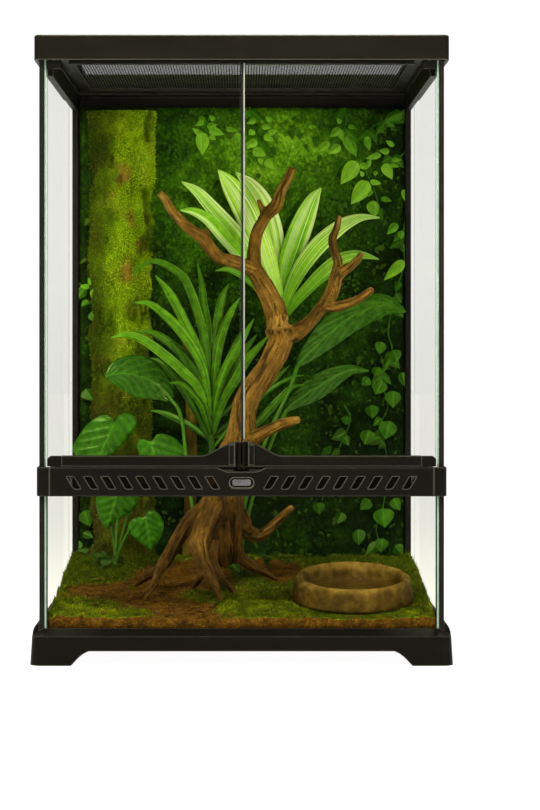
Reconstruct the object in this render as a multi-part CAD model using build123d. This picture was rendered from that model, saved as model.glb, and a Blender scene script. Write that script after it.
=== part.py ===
from build123d import *
import math
import os

os.makedirs("parts", exist_ok=True)

# Stick insect enclosure: a tall glass terrarium with two hinged front doors over a
# ventilation strip, a lift-off mesh top, and its planted interior.
# Millimetres. +Z up, front towards -Y, origin on the ground under the middle.

# ---------------------------------------------------------------- driving dimensions
HEIGHT = 467.3          # ground to the rim of the top frame
FOOT_HALF = 157.0       # half width of the base at the ground
RIDGE_HALF = 155.7      # half width of the base at its ridge
RIDGE_Z = 21.5
RIM_Z = 26.7            # front and rear rim of the base
SIDE_RIM_Z = 31.6       # side rims of the base
ARCH_Z = 10.7           # clear height under the base between the feet
ARCH_IN, ARCH_OUT = 113.2, 126.4
PANE = 4.0              # glass thickness
SIDE_IN = 145.2         # inner face of the side panes
SIDE_OUT = SIDE_IN + PANE
FRONT_Y = -147.0        # outer face of the front glass
REAR_Y = 147.0          # outer face of the rear glass
FLOOR_Z = 18.0          # underside of the floor pane
FLOOR_TOP = FLOOR_Z + PANE
GLASS_TOP = 458.5
TOP_HALF = 154.0        # half width of the top frame
SKIRT_Z = 448.6         # lower edge of the top frame's skirt
SKIRT_IN = 151.4
WELL = 143.0            # half width of the well that takes the screen cover
WELL_REAR = 115.0
LEDGE_Z0, LEDGE_Z1 = 449.5, 452.5
LIP_SIDE_Z, LIP_REAR_Z, LIP_FRONT_Z = 437.8, 440.9, 446.4
STRIP_Z0, STRIP_Z1 = 125.2, 146.7   # ventilation strip
STRIP_Y = -155.5
STRIP_END = 142.3
STRIP_OUT = 152.0
ARM_Y = -119.0
RAIL_Z0, RAIL_Z1 = 147.3, 155.2     # door rails
RAIL_Y = -154.5
HINGE_X, HINGE_Y = 139.4, -149.3    # door hinge axes
KNUCKLE_R = 5.0
PIN_R = 1.5
RUN_FIT = 0.05
DOOR_TOP = 447.6
DOOR_X0, DOOR_X1 = 144.4, 1.6       # door glass, outer and meeting edge
SOIL_FRONT_Z = 33.0
SLOPE_DEG = 4.5
SCREEN_HALF = 142.2
SCREEN_REAR = 114.2
SCREEN_Z0, SCREEN_Z1 = 452.7, 458.7
FIELD_HALF, FIELD_FRONT, FIELD_REAR = 127.6, 124.7, 102.0
MESH_Z0, MESH_Z1 = 454.1, 454.7
PANEL_Y = 131.0         # front face of the background panel
TAN = math.tan(math.radians(SLOPE_DEG))


def soil_z(y):
    return SOIL_FRONT_Z + (y + 142.8) * TAN


def bx(x0, x1, y0, y1, z0, z1):
    x0, x1 = sorted((x0, x1))
    return Pos((x0 + x1) / 2, (y0 + y1) / 2, (z0 + z1) / 2) * Box(x1 - x0, y1 - y0, z1 - z0)


def both(shape):
    """A shape and its mirror image, as two solids."""
    return [shape, mirror(shape, about=Plane.YZ)]


def prism_y(points, y0, y1):
    """Closed outline of (x, z) points, extruded from y0 to y1."""
    wire = Wire.make_polygon([(x, y0, z) for x, z in points], close=True)
    return extrude(Face(wire), amount=y1 - y0, dir=(0, 1, 0))


def prism_x(points, x0, x1):
    wire = Wire.make_polygon([(x0, y, z) for y, z in points], close=True)
    return extrude(Face(wire), amount=x1 - x0, dir=(1, 0, 0))


def save(shape, name):
    if isinstance(shape, (list, tuple)):
        shape = Compound(children=[s for part in shape for s in part.solids()])
    export_step(shape, f"parts/{name}.step")


def rod(x, y, z0, z1, r):
    return Pos(x, y, (z0 + z1) / 2) * Cylinder(r, z1 - z0)


def near(edges, test):
    return [e for e in edges if test(e.center())]


# ---------------------------------------------------------------- corner posts
def front_post(side):
    leg = bx(side * 146.6, side * 150.4, -148.4, FRONT_Y, 25, 452)
    leg = fillet(near(leg.edges().filter_by(Axis.Z), lambda c: c.Y < -148 and abs(c.X) > 150), 1.1)
    return leg + bx(side * SIDE_OUT, side * 150.4, FRONT_Y, -139, 25, 452)


posts = {
    "front_left_post": front_post(-1),
    "front_right_post": front_post(1),
}

# ---------------------------------------------------------------- base frame
base = loft(
    [
        RectangleRounded(2 * FOOT_HALF, 2 * FOOT_HALF, 9),
        Pos(0, 0, RIDGE_Z) * RectangleRounded(2 * RIDGE_HALF, 2 * RIDGE_HALF, 8),
    ],
    ruled=True,
)
shoulder = loft(
    [
        Pos(0, 0, RIDGE_Z) * RectangleRounded(2 * RIDGE_HALF, 2 * RIDGE_HALF, 8),
        Pos(0, 0, RIM_Z) * RectangleRounded(2 * 149.4, 2 * 149.4, 5),
    ],
    ruled=True,
)
base = base + shoulder
rim = [(149.2, 20), (155.6, 20), (155.6, 22.2), (155.3, 24.4), (154.6, 26.6),
       (153.4, 28.8), (151.9, 30.6), (150.5, SIDE_RIM_Z), (149.2, SIDE_RIM_Z)]
for s in (-1, 1):
    base = base + prism_y([(s * x, z) for x, z in rim], -146.0, 146.0)
base = base - bx(-SIDE_OUT, SIDE_OUT, FRONT_Y, REAR_Y, FLOOR_Z, 60)
base = base - bx(-152.7, 152.7, -152.7, 152.7, -1, 14)
base = base - bx(-118, 118, -118, 118, 10, FLOOR_Z + 1)
arch = [(-ARCH_OUT, -1)]
for x, z in [(0, 0), (1.6, 1.5), (4.4, 4.6), (6.8, 6.9), (9.6, 9.0), (13.2, ARCH_Z)]:
    arch.append((-ARCH_OUT + x, z))
arch = arch + [(-x, z) for x, z in reversed(arch)]
base = base - prism_y(arch, -170, 170) - prism_x(arch, -170, 170)
for s in (-1, 1):
    for t in (-1, 1):
        # ribs behind each foot's two walls
        base = base + bx(s * 130, s * 133, t * 130 if t > 0 else -154.4, 154.4 if t > 0 else -130, 0.0, 14.2)
        base = base + bx(s * 130, s * 154.4, t * 130 if t > 0 else -133, 133 if t > 0 else -130, 0.0, 14.2)
for p in posts.values():
    base = base - p
save(base, "base_frame")

# ---------------------------------------------------------------- glass
save(bx(-144.9, 144.9, -142.9, 142.9, FLOOR_Z, FLOOR_TOP), "floor_glass")
save(bx(-SIDE_OUT, -SIDE_IN, FRONT_Y, 143, FLOOR_Z, GLASS_TOP), "left_side_glass")
save(bx(SIDE_IN, SIDE_OUT, FRONT_Y, 143, FLOOR_Z, GLASS_TOP), "right_side_glass")
save(bx(-SIDE_OUT, SIDE_OUT, 143, REAR_Y, FLOOR_Z, GLASS_TOP), "rear_glass")
save(bx(-144.4, 144.4, FRONT_Y, -143, FLOOR_Z, 133), "front_lower_glass")
save(both(bx(144.4, SIDE_IN, FRONT_Y, -143, FLOOR_TOP, 126)), "front_silicone_seams")

# ---------------------------------------------------------------- top frame
top = Pos(0, 0, SKIRT_Z) * extrude(RectangleRounded(2 * TOP_HALF, 2 * TOP_HALF, 6), amount=HEIGHT - SKIRT_Z)
top = fillet(near(top.edges(), lambda c: c.Z > HEIGHT - 0.1), 1.6)
top = top - bx(-SKIRT_IN, SKIRT_IN, -SKIRT_IN, SKIRT_IN, SKIRT_Z - 1, 464.3)
top = top - bx(-WELL, WELL, -WELL, WELL_REAR, 460, HEIGHT + 1)
# well walls and ledge
ring = bx(-SIDE_IN + 0.1, SIDE_IN - 0.1, -145.1, 142.9, LEDGE_Z0, 464.3)
ring = ring - bx(-WELL, WELL, -WELL, WELL_REAR, LEDGE_Z1, 465)
ring = ring - bx(-138, 138, -138, 106, LEDGE_Z0 - 1, 465)
ring = ring - bx(-WELL, WELL, WELL_REAR + 2.5, 136.6, LEDGE_Z0 - 1, 461.3)
top = top + ring
# lips hanging inside the glass
for s in (-1, 1):
    top = top + prism_y([(s * 141.0, LIP_SIDE_Z), (s * 145.1, LIP_SIDE_Z), (s * 145.1, LEDGE_Z1), (s * 138.0, LEDGE_Z1)], -139, 142.9)
top = top + prism_x([(137.6, LIP_REAR_Z), (142.9, LIP_REAR_Z), (142.9, 453), (136.6, 453)], -138.2, 138.2)
for s in (-1, 1):
    top = top + bx(s * 138.0, s * 145.1, 137.6, 142.9, LIP_REAR_Z, 453) + bx(s * 139.9, s * 145.1, 137.6, 142.9, LIP_SIDE_Z, 441.2)
top = top + bx(-129, 129, -142.6, -138.0, LIP_FRONT_Z, 450)
# hinge blocks in the front corners
for s in (-1, 1):
    top = top + bx(s * 133, s * 145.1, -151.5, -145.0, 449.0, 464.4)
    top = top - rod(s * HINGE_X, HINGE_Y, 440, 457, PIN_R)
    # latch recess, slot and window
    top = top - bx(s * 142.9, s * 151.2, -28.4, -11.6, 465.7, 468)
    top = top - bx(s * 145.3, s * 151.2, -24.4, -15.6, 460, 468)
    top = top - bx(s * 142.0, s * 151.2, -27.4, -12.6, 459.0, 461.6)
    # cable inlet with a captive gate
    top = top - bx(s * 70, s * 100, 121, 133, 460, 468)
    top = top - bx(s * 36.6, s * 102.6, 118.8, 135.2, 464.8, 466.4)
    top = top - bx(s * 36.6, s * 102.6, 120.6, 133.4, 466.0, 468)
save(top, "top_frame")

# ---------------------------------------------------------------- screen cover
cover = bx(-SCREEN_HALF, SCREEN_HALF, -SCREEN_HALF, SCREEN_REAR, SCREEN_Z0, SCREEN_Z1)
cover = fillet(cover.edges().filter_by(Axis.Z), 3.0)
cover = chamfer(near(cover.edges(), lambda c: c.Z > SCREEN_Z1 - 0.1), 0.8)
cover = cover - bx(-FIELD_HALF, FIELD_HALF, -FIELD_FRONT, FIELD_REAR, 450, 470)
cover = cover - bx(-FIELD_HALF - 3, FIELD_HALF + 3, -FIELD_FRONT - 3, FIELD_REAR + 3, MESH_Z0, MESH_Z1)
# stiffening bead around the border, and two finger pulls at the front
bead = bx(-137, 137, -137, 110, SCREEN_Z1 - 0.1, SCREEN_Z1 + 1.2) - bx(-134.6, 134.6, -134.6, 107.6, SCREEN_Z1 - 1, SCREEN_Z1 + 2)
cover = cover + bead
cover = cover - bx(-40, -18, -133, -127, SCREEN_Z0 + 2.4, 470) - bx(18, 40, -133, -127, SCREEN_Z0 + 2.4, 470)
save(cover, "screen_frame")
save(bx(-FIELD_HALF - 2.9, FIELD_HALF + 2.9, -FIELD_FRONT - 2.9, FIELD_REAR + 2.9, MESH_Z0, MESH_Z1), "screen_mesh")

# ---------------------------------------------------------------- screen latches and cable gates
def latch(side):
    tongue = bx(side * 143.3, side * 151.0, -27.0, -13.0, 459.3, 461.3)
    neck = bx(side * 149.0, side * 151.0, -24.0, -16.0, 461.3, 465.9)
    button = bx(side * 147.3, side * 151.0, -28.0, -12.0, 465.9, 467.1)
    grip = bx(side * 148.6, side * 149.8, -26.0, -14.0, 466.6, 468)
    return tongue + neck + button - grip


def gate(side):
    plate = bx(side * 68.4, side * 102.4, 119.0, 135.0, 465.0, 466.2)
    for x in (80.0, 85.0, 90.0):
        plate = plate + bx(side * x, side * (x + 2.0), 121.5, 132.5, 466.1, 467.2)
    return plate


for s, name in ((-1, "left"), (1, "right")):
    save(latch(s), f"{name}_screen_latch")
    save(gate(s), f"{name}_cable_gate")

# ---------------------------------------------------------------- ventilation strip
strip = bx(-STRIP_END, STRIP_END, STRIP_Y, -141.2, STRIP_Z0, STRIP_Z1)
strip = fillet(near(strip.edges().filter_by(Axis.X), lambda c: c.Y < -155), 0.8)
strip = strip - bx(-STRIP_END - 1, STRIP_END + 1, -153.0, -148.5, 128.2, 144.5)
strip = strip - bx(-STRIP_END - 1, STRIP_END + 1, -149.0, -140, 133.0, 144.5)
strip = strip - bx(-STRIP_END - 1, STRIP_END + 1, FRONT_Y, -143.0, STRIP_Z0 - 1, 133.5)
for x in (-STRIP_END + 1, -94.0, -47.0, 0.0, 47.0, 94.0, STRIP_END - 1):
    strip = strip + bx(x - 1, x + 1, -152.6, -147.4, 128.1, 144.6) + bx(x - 1, x + 1, -147.5, -141.2, 133.0, 144.6)
for s in (-1, 1):
    strip = strip + bx(s * 134.2, s * STRIP_END, -154.5, -147.0, 128.0, 146.0)
    strip = strip - rod(s * HINGE_X, HINGE_Y, 136, 160, PIN_R)
# finger scoop under the meeting ends of the doors
strip = strip + bx(-21, 21, -153.1, -147.4, 141.4, 145)
scoop = [(-19.6, 148), (-19.4, 146.75), (-17.6, 146.3), (-15.2, 145.2), (-13.0, 144.1), (-10.6, 143.4),
         (10.6, 143.4), (13.0, 144.1), (15.2, 145.2), (17.6, 146.3), (19.4, 146.75), (19.6, 148)]
strip = strip - prism_y(scoop, -156, -147.6)
# slanted ventilation slots, nine each side, leaning towards the middle
SLOT_PITCH = 12.83
slots = None
for k in range(9):
    x = -129.65 + SLOT_PITCH * k
    quad = [(x, 139.8), (x + 5.4, 139.8), (x + 10.6, 130.8), (x + 6.2, 130.8), (x + 5.1, 131.4)]
    for cut in both(prism_y(quad, -156, -152.9)):
        strip = strip - cut
# shallow recess for the blank badge
BADGE_Z = 135.0
recess = extrude(Plane(origin=(0, -156.0, BADGE_Z), x_dir=(1, 0, 0), z_dir=(0, -1, 0)) * RectangleRounded(17.9, 7.7, 3.6), amount=-1.9)
strip = strip - recess
save(strip, "vent_strip")
badge = extrude(Plane(origin=(0, -155.3, BADGE_Z + 0.4), x_dir=(1, 0, 0), z_dir=(0, -1, 0)) * RectangleRounded(13.9, 4.7, 1.6), amount=-1.2)
save(badge, "badge_plate")
save(bx(-133.5, 133.5, -153.0, -152.6, 128.8, 142.0) - bx(-22, 22, -154, -152, 141.0, 143), "vent_mesh")
save(bx(-5.5, 5.5, -150.1, -147.6, 143.4, 146.6), "door_strike")
save(both(rod(HINGE_X, HINGE_Y, 136, 153.6, PIN_R)), "lower_hinge_pins")


def strip_cap(side):
    block = bx(side * STRIP_END, side * STRIP_OUT, STRIP_Y, -148.5, STRIP_Z0, STRIP_Z1)
    arm = bx(side * 150.5, side * STRIP_OUT, -148.6, ARM_Y, STRIP_Z0, STRIP_Z1)
    pad = bx(side * 149.3, side * STRIP_OUT, ARM_Y - 6, ARM_Y, STRIP_Z0, STRIP_Z1)
    cap = block + arm + pad
    cap = fillet(near(cap.edges().filter_by(Axis.Z), lambda c: c.Y < -155 and abs(c.X) > 151), 5.5)
    return cap


save(strip_cap(-1), "left_strip_cap")
save(strip_cap(1), "right_strip_cap")

# ---------------------------------------------------------------- doors
HUMP = [(-30.8, 155.2), (-26.6, 155.8), (-22.3, 157.8), (-18.0, 160.2), (-13.7, 162.5), (-9.5, 164.2), (-6.1, 165.2), (-0.9, 165.7)]


def hump_z(x):
    for (x0, z0), (x1, z1) in zip(HUMP, HUMP[1:]):
        if x0 <= x <= x1:
            return z0 + (z1 - z0) * (x - x0) / (x1 - x0)
    return RAIL_Z1 if x < HUMP[0][0] else HUMP[-1][1]


def rail():
    """Left rail: a channel along the bottom of the door, rising to a hump at the meeting end."""
    crest = Spline([(x, RAIL_Y, z) for x, z in HUMP], tangents=[(1, 0, 0), (1, 0, 0.02)])
    outline = Wire(
        [
            *Polyline([(-0.9, RAIL_Y, 165.7), (-0.9, RAIL_Y, RAIL_Z0), (-133.5, RAIL_Y, RAIL_Z0), (-133.5, RAIL_Y, RAIL_Z1), (-30.8, RAIL_Y, RAIL_Z1)]).edges(),
            *crest.edges(),
        ]
    )
    front = extrude(Face(outline), amount=FRONT_Y - RAIL_Y, dir=(0, 1, 0))
    front = front + bx(-133.5, -0.9, FRONT_Y - 0.1, -141.8, RAIL_Z0, 148.6) + bx(-133.5, -0.9, -143, -141.8, RAIL_Z0, 153.5)
    front = front - bx(-4.8, -2.4, -160, -150.5, 140, 170) - bx(-2.5, 0, -160, -150.5, 140, 170)
    return front


def knuckle():
    barrel = Pos(-HINGE_X, HINGE_Y, (RAIL_Z0 + 154.9) / 2) * Cylinder(KNUCKLE_R, 154.9 - RAIL_Z0)
    barrel = chamfer(near(barrel.edges(), lambda c: c.Z > 154.8), 2.4)
    body = barrel + bx(-HINGE_X, -133.6, -154.3, FRONT_Y, RAIL_Z0, 154.9)
    body = body - bx(-150, -130, FRONT_Y, -140, 148.6, 160)
    body = body + bx(-144.2, -133.6, FRONT_Y - 1.5, -141.8, RAIL_Z0, 148.6) + bx(-144.2, -133.6, -143, -141.8, RAIL_Z0, 153.5)
    return body - rod(-HINGE_X, HINGE_Y, 140, 153.9, PIN_R + RUN_FIT)


def grip():
    x0, x1 = -9.5, -4.9
    bar = prism_y([(x0, 148.1), (x1 - 0.9, 147.9), (x1, 148.8), (x1, hump_z(x1) - 0.7), (x0, hump_z(x0) - 1.0)], -156.0, RAIL_Y)
    return bar - Pos((x0 + x1) / 2, -157.9, 160) * Cylinder(2.6, 60)


def catch():
    tongue = bx(-2.3, -0.6, -155.2, -150.5, 144.2, 165.4)
    return tongue - prism_x([(-156, 143), (-156, 146.4), (-153.8, 144.2), (-153.8, 143)], -3, 0)


def top_pivot():
    shoe = bx(-144.2, -134.0, -151.3, FRONT_Y, 442.5, 448.2) + bx(-144.2, -134.0, -151.3, -142.0, DOOR_TOP, 448.2)
    shoe = shoe + bx(-144.2, -134.0, -143.0, -142.0, 442.5, 446.0)
    shoe = shoe + bx(-144.2, -143.2, -143.0, -142.0, 445.0, 448.2) + bx(-135.0, -134.0, -143.0, -142.0, 445.0, 448.2)
    return shoe - rod(-HINGE_X, HINGE_Y, 443.5, 450, 1.45)


door_parts = {
    "door_glass": bx(-DOOR_X0, -DOOR_X1, FRONT_Y, -143, 148.6, DOOR_TOP),
    "door_rail": rail(),
    "hinge_knuckle": knuckle(),
    "door_grip": grip(),
    "door_catch": catch(),
    "edge_strip": bx(-1.6, -0.6, FRONT_Y, -143, 148.6, DOOR_TOP),
    "door_gasket": bx(-0.6, -0.25, -146, -144, 148.8, DOOR_TOP),
    "top_pivot": top_pivot(),
    "top_hinge_pin": rod(-HINGE_X, HINGE_Y, 443.5, 455.5, 1.45),
}
for name, shape in door_parts.items():
    save(shape, f"left_{name}")
    save(mirror(shape, about=Plane.YZ), f"right_{name}")
for name, shape in posts.items():
    save(shape, name)
print("shell done")

# ---------------------------------------------------------------- planted interior
# Centre lines of the driftwood's limbs and of the leaves: (x, y, z, radius or half width)
LIMBS = {
    "stem": [(-15.2, 5, 63.1, 13), (-14.8, -4, 80.0, 14.5), (-14.3, -8, 96.4, 16), (-14.2, -10, 115.5, 17), (-11.1, -8, 130.2, 16), (-5.5, -6, 148.5, 14), (0.7, -4, 166.1, 12), (1.7, -2, 181.4, 10.6), (6.8, 0, 196.8, 10.6), (16.6, 2, 211.1, 10.2), (25.4, 4, 225.7, 10), (31.6, 5, 240.0, 10.6), (30.8, 5, 250.7, 12.6)],
    "left_fork": [(31.7, 5, 244.2, 10), (27.3, 8, 263.7, 9), (23.6, 10, 274.3, 8.2), (17.2, 13, 286.3, 7.9), (10.7, 15, 298.3, 7.1), (9.6, 16, 310.4, 6), (11.3, 16, 325.6, 5.6), (16.2, 14, 336.4, 5.4), (21.6, 12, 343.9, 5.4), (28.1, 10, 350.1, 5.4), (31.9, 8, 361.0, 4.6), (37.8, 5, 371.7, 3.8), (41.0, 3, 380.0, 3.6)],
    "left_twig": [(19.6, 13, 340.9, 3.6), (16.8, 13, 346.2, 2.8), (13.0, 14, 354.7, 2.2)],
    "left_arm": [(11.5, 15, 297.1, 6.6), (-1.5, 8, 302.6, 6.4), (-9.0, 2, 305.0, 6), (-17.6, -5, 307.0, 5.7), (-24.0, -10, 312.4, 5.8), (-30.4, -16, 322.1, 6), (-37.8, -21, 326.7, 5), (-46.2, -26, 333.4, 4.7), (-54.6, -31, 342.6, 4), (-60.3, -35, 352.0, 3.4), (-65.0, -38, 357.4, 2.9)],
    "left_knob": [(-30.3, -15, 321.0, 5), (-29.6, -16, 327.4, 4.6), (-29.6, -16, 329.4, 3)],
    "right_fork": [(31.7, 5, 244.2, 9), (40.5, 3, 246.7, 7.8), (49.3, -1, 251.5, 6.2), (55.1, -4, 256.5, 5.4), (61.1, -7, 263.7, 5.4), (67.7, -10, 271.3, 6), (72.3, -12, 279.9, 5.8), (74.9, -14, 290.6, 5.6), (76.6, -15, 301.8, 4.4), (73.7, -16, 312.4, 3.7), (72.1, -16, 321.4, 3.6), (75.3, -17, 329.7, 3), (77.5, -18, 340.1, 2.7)],
    "right_twig_a": [(76.2, -14, 291.4, 4.4), (80.8, -18, 295.3, 3.8), (86.2, -23, 299.3, 3.7), (92.0, -27, 305.1, 3.4), (95.1, -29, 310.0, 2.6)],
    "right_twig_b": [(67.5, -10, 268.3, 5), (73.8, -13, 267.4, 4.6), (82.2, -17, 269.1, 4.3), (91.3, -20, 272.6, 3.7), (99.3, -23, 277.7, 3.3), (104.3, -25, 281.8, 2.6)],
    "low_branch": [(2.5, -6, 159.0, 7.6), (11.9, -14, 163.4, 6), (21.0, -21, 168.8, 5), (30.0, -27, 173.6, 4.6), (39.0, -33, 176.8, 4), (45.7, -37, 178.3, 2.8)],
    "root_a": [(-22.3, -12, 108.7, 11), (-31.0, -20, 103.7, 8.6), (-40.3, -24, 98.0, 6.6), (-48.7, -27, 85.2, 6), (-58.3, -26, 69.1, 5.4), (-64.9, -22, 60.2, 4.6), (-75.7, -18, 52.7, 3.6), (-87.7, -12.7, 43.2, 1.6)],
    "root_a2": [(-61.2, -26, 65.9, 4.6), (-66.2, -40, 56.9, 4), (-68.0, -52, 51.5, 3.5), (-72.5, -62, 44.2, 2.7), (-75.7, -70.3, 38.7, 1.5)],
    "root_b": [(-20.7, -18, 106.8, 11.5), (-28.4, -32, 94.2, 9), (-33.5, -42, 82.2, 7.8), (-31.3, -50, 70.2, 6.6), (-25.4, -58, 57.3, 5.2), (-19.5, -66, 46.6, 3.9), (-15.8, -75.7, 38.3, 1.7)],
    "root_b_side": [(-31.2, -54, 63.8, 4.4), (-32.5, -54, 55.1, 3), (-36.2, -40, 48.2, 2.4), (-40.7, -26.7, 42.1, 1.4)],
    "root_b2": [(-23.7, -30, 82.2, 6.5), (-23.0, -36, 66.8, 4.6), (-16.6, -42, 54.8, 3.8), (-9.2, -43, 46.8, 3), (-1.9, -44.0, 40.8, 1.5)],
    "hook": [(-10.3, -8, 108.5, 12), (-3.9, -2, 99.2, 9.5), (0.9, 3, 89.9, 8), (7.4, 6, 84.5, 7), (15.0, 9, 83.8, 6.1), (22.7, 11, 88.8, 5), (30.3, 12, 96.3, 4.1), (37.9, 12, 103.2, 3.3), (42.0, 12, 106.3, 2.6)],
    "root_d": [(-11.1, -6, 96.3, 10), (-6.3, 2, 79.5, 7), (-1.5, 8, 66.9, 5.6), (8.6, 12, 58.1, 4.6), (18.4, 17, 52.6, 3.5), (29.4, 20.7, 45.9, 1.6)],
}
DRACAENA = [
    [(-71.6, 60, 294.7, 0.5), (-59.3, 66, 279.4, 4.4), (-47.6, 68, 257.1, 5.2), (-33.7, 64, 227.3, 5), (-27.3, 58, 195.5, 4), (-25.1, 55, 166.4, 3)],
    [(-88.7, 44, 293.8, 0.4), (-86.7, 48, 298.3, 1.4), (-80.3, 54, 304.0, 2.2), (-71.6, 60, 306.4, 2.8), (-62.9, 66, 303.8, 3.4), (-51.9, 72, 296.7, 4), (-45.3, 75, 287.9, 4.4), (-35.0, 74, 259.5, 4.8), (-29.5, 68, 231.5, 4.8), (-25.1, 56, 166.3, 3)],
    [(-37.0, 84, 305.0, 0.4), (-33.6, 84, 289.0, 3), (-31.9, 82, 270.0, 4.6), (-28.5, 74, 243.2, 5), (-25.1, 57, 166.3, 3)],
    [(-10.5, 86, 288.4, 0.4), (-16.4, 84, 277.6, 3.6), (-20.0, 80, 259.3, 4.8), (-23.3, 72, 231.5, 4.6), (-25.1, 58, 166.3, 3)],
    [(-1.3, 66, 276.1, 0.4), (-8.2, 68, 265.6, 3.2), (-15.7, 68, 248.5, 4.6), (-21.0, 64, 223.0, 4.6), (-24.8, 57, 166.3, 3)],
    [(-87.1, 34, 271.4, 0.4), (-76.4, 40, 271.0, 3), (-63.9, 46, 262.2, 4.4), (-51.4, 50, 249.5, 5.2), (-38.8, 52, 231.6, 5.2), (-30.4, 53, 210.4, 4.6), (-25.1, 54, 166.4, 3)],
    [(-88.6, 80, 248.0, 0.4), (-75.9, 82, 247.5, 3), (-60.8, 80, 238.9, 4.6), (-45.7, 74, 225.1, 5), (-34.9, 68, 210.1, 4.8), (-28.3, 62, 193.3, 4.2), (-25.1, 57, 166.3, 3)],
    [(-106.4, 30, 243.1, 0.4), (-96.1, 34, 245.3, 3), (-82.6, 38, 242.1, 4.4), (-66.0, 42, 230.6, 5), (-49.3, 46, 215.8, 5), (-34.6, 50, 198.8, 4.4), (-25.6, 53, 164.8, 3)],
    [(-58.1, 26, 206.1, 0.4), (-49.9, 32, 205.5, 2.4), (-40.7, 38, 197.0, 3.4), (-32.3, 44, 185.3, 3.8), (-25.7, 52, 163.2, 3)],
    [(10.1, 50, 258.4, 0.4), (1.8, 52, 244.3, 3.4), (-6.1, 54, 231.1, 4.6), (-14.5, 54, 214.5, 4.6), (-20.9, 55, 194.6, 4), (-24.8, 56, 164.7, 3)],
    [(12.9, 76, 245.9, 0.4), (5.0, 74, 235.8, 3.2), (-1.9, 72, 225.1, 4.4), (-9.3, 68, 210.1, 4.6), (-17.8, 62, 191.1, 4), (-24.5, 58, 164.6, 3)],
    [(22.5, 40, 245.1, 0.4), (13.3, 43, 234.8, 3), (3.8, 46, 223.9, 4.4), (-4.8, 48, 208.8, 4.6), (-14.8, 51, 191.4, 4), (-24.5, 54, 163.1, 3)],
    [(52.1, 78, 203.6, 0.4), (42.4, 78, 201.6, 2.6), (32.8, 76, 193.0, 4), (22.0, 72, 181.3, 4.4), (11.0, 68, 170.9, 4), (-4.9, 62, 164.5, 3.6), (-24.0, 57, 159.7, 3)],
    [(40.0, 90, 219.5, 0.4), (29.6, 88, 209.0, 2.6), (16.9, 82, 195.6, 4), (1.0, 72, 180.8, 4.2), (-11.5, 64, 171.0, 3.8), (-24.8, 58, 159.6, 3)],
]
STRIPED = [
    [(-19.7, 96, 384.7, 0.5), (-10.6, 98, 373.5, 5), (-1.0, 100, 358.9, 7), (6.7, 102, 344.1, 7.6), (15.8, 106, 322.7, 7.4), (24.0, 110, 299.0, 6), (31.8, 116, 275.2, 3.6), (35.3, 121, 261.6, 2)],
    [(-5.0, 112, 383.5, 0.5), (7.0, 114, 372.6, 4.6), (17.2, 115, 356.4, 7), (24.1, 116, 335.1, 7.6), (28.4, 117, 307.8, 7), (32.7, 119, 282.1, 4.6), (35.7, 122, 263.3, 2)],
    [(-49.9, 84, 373.7, 0.5), (-37.7, 90, 366.1, 3.4), (-25.3, 94, 352.8, 5), (-12.9, 98, 339.4, 5.6), (-1.6, 102, 325.9, 5.6), (12.0, 108, 305.8, 5), (24.9, 114, 282.0, 3.8), (34.4, 121, 262.5, 2)],
    [(-51.0, 78, 349.7, 0.5), (-39.8, 84, 348.9, 3), (-27.6, 90, 342.4, 4.4), (-16.3, 94, 330.2, 5), (-3.3, 100, 315.7, 5), (11.2, 106, 297.2, 4.6), (24.9, 114, 276.9, 3.6), (34.4, 121, 260.8, 2)],
    [(67.1, 98, 369.3, 0.5), (60.4, 102, 359.9, 4.4), (53.4, 106, 343.1, 7.2), (46.2, 110, 322.9, 8), (39.8, 114, 302.5, 7), (36.5, 118, 282.1, 4.4), (35.7, 122, 263.3, 2)],
    [(115.0, 76, 343.4, 0.4), (101.2, 82, 343.9, 2.4), (88.0, 88, 339.4, 4.4), (75.7, 92, 330.8, 5.6), (62.3, 98, 318.2, 6), (49.7, 106, 301.0, 5.4), (40.7, 114, 282.0, 4), (36.1, 121, 261.6, 2)],
    [(114.1, 72, 308.5, 0.4), (104.3, 78, 311.5, 2.4), (93.4, 84, 312.2, 4.2), (80.1, 90, 307.7, 5.2), (66.8, 98, 297.0, 5.6), (55.7, 106, 285.3, 5), (45.4, 114, 273.5, 4), (36.5, 121, 259.9, 2)],
]
BROAD = [
    [(136.6, 70, 264.5, 0.6), (124.1, 74, 269.5, 6.4), (111.9, 77, 268.9, 9.6), (90.7, 80, 259.5, 11), (69.2, 80, 242.7, 9.6), (53.8, 78, 227.6, 5.4), (46.6, 74, 219.3, 1.4)],
    [(106.2, 80, 215.3, 0.6), (90.7, 82, 215.8, 4), (75.8, 82, 209.1, 7.6), (64.0, 80, 201.6, 8.8), (54.2, 78, 195.7, 7.8), (42.8, 74, 187.4, 4), (36.9, 70, 181.7, 1.2)],
    [(-113.0, 66, 211.3, 0.8), (-105.9, 68, 212.7, 8.6), (-95.6, 70, 213.3, 13.4), (-85.2, 71, 210.9, 15.4), (-75.1, 71, 206.8, 14.6), (-65.9, 69, 200.1, 10), (-59.1, 66, 191.8, 3)],
]
BROAD_STEMS = [
    [(46.6, 74, 219.3), (38.5, 64, 197.7), (20.0, 52, 158.2), (3.4, 46, 108.9), (-3.2, 44, 62.9)],
    [(36.9, 70, 181.7), (23.4, 58, 153.0), (8.4, 50, 108.7), (-1.5, 48, 61.7)],
    [(-59.1, 66, 191.8), (-52.9, 64, 184.4), (-49.0, 61, 171.2), (-46.9, 58, 153.0), (-42.9, 52, 116.8), (-37.1, 48, 92.3), (-22.9, 42, 59.7)],
]
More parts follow.
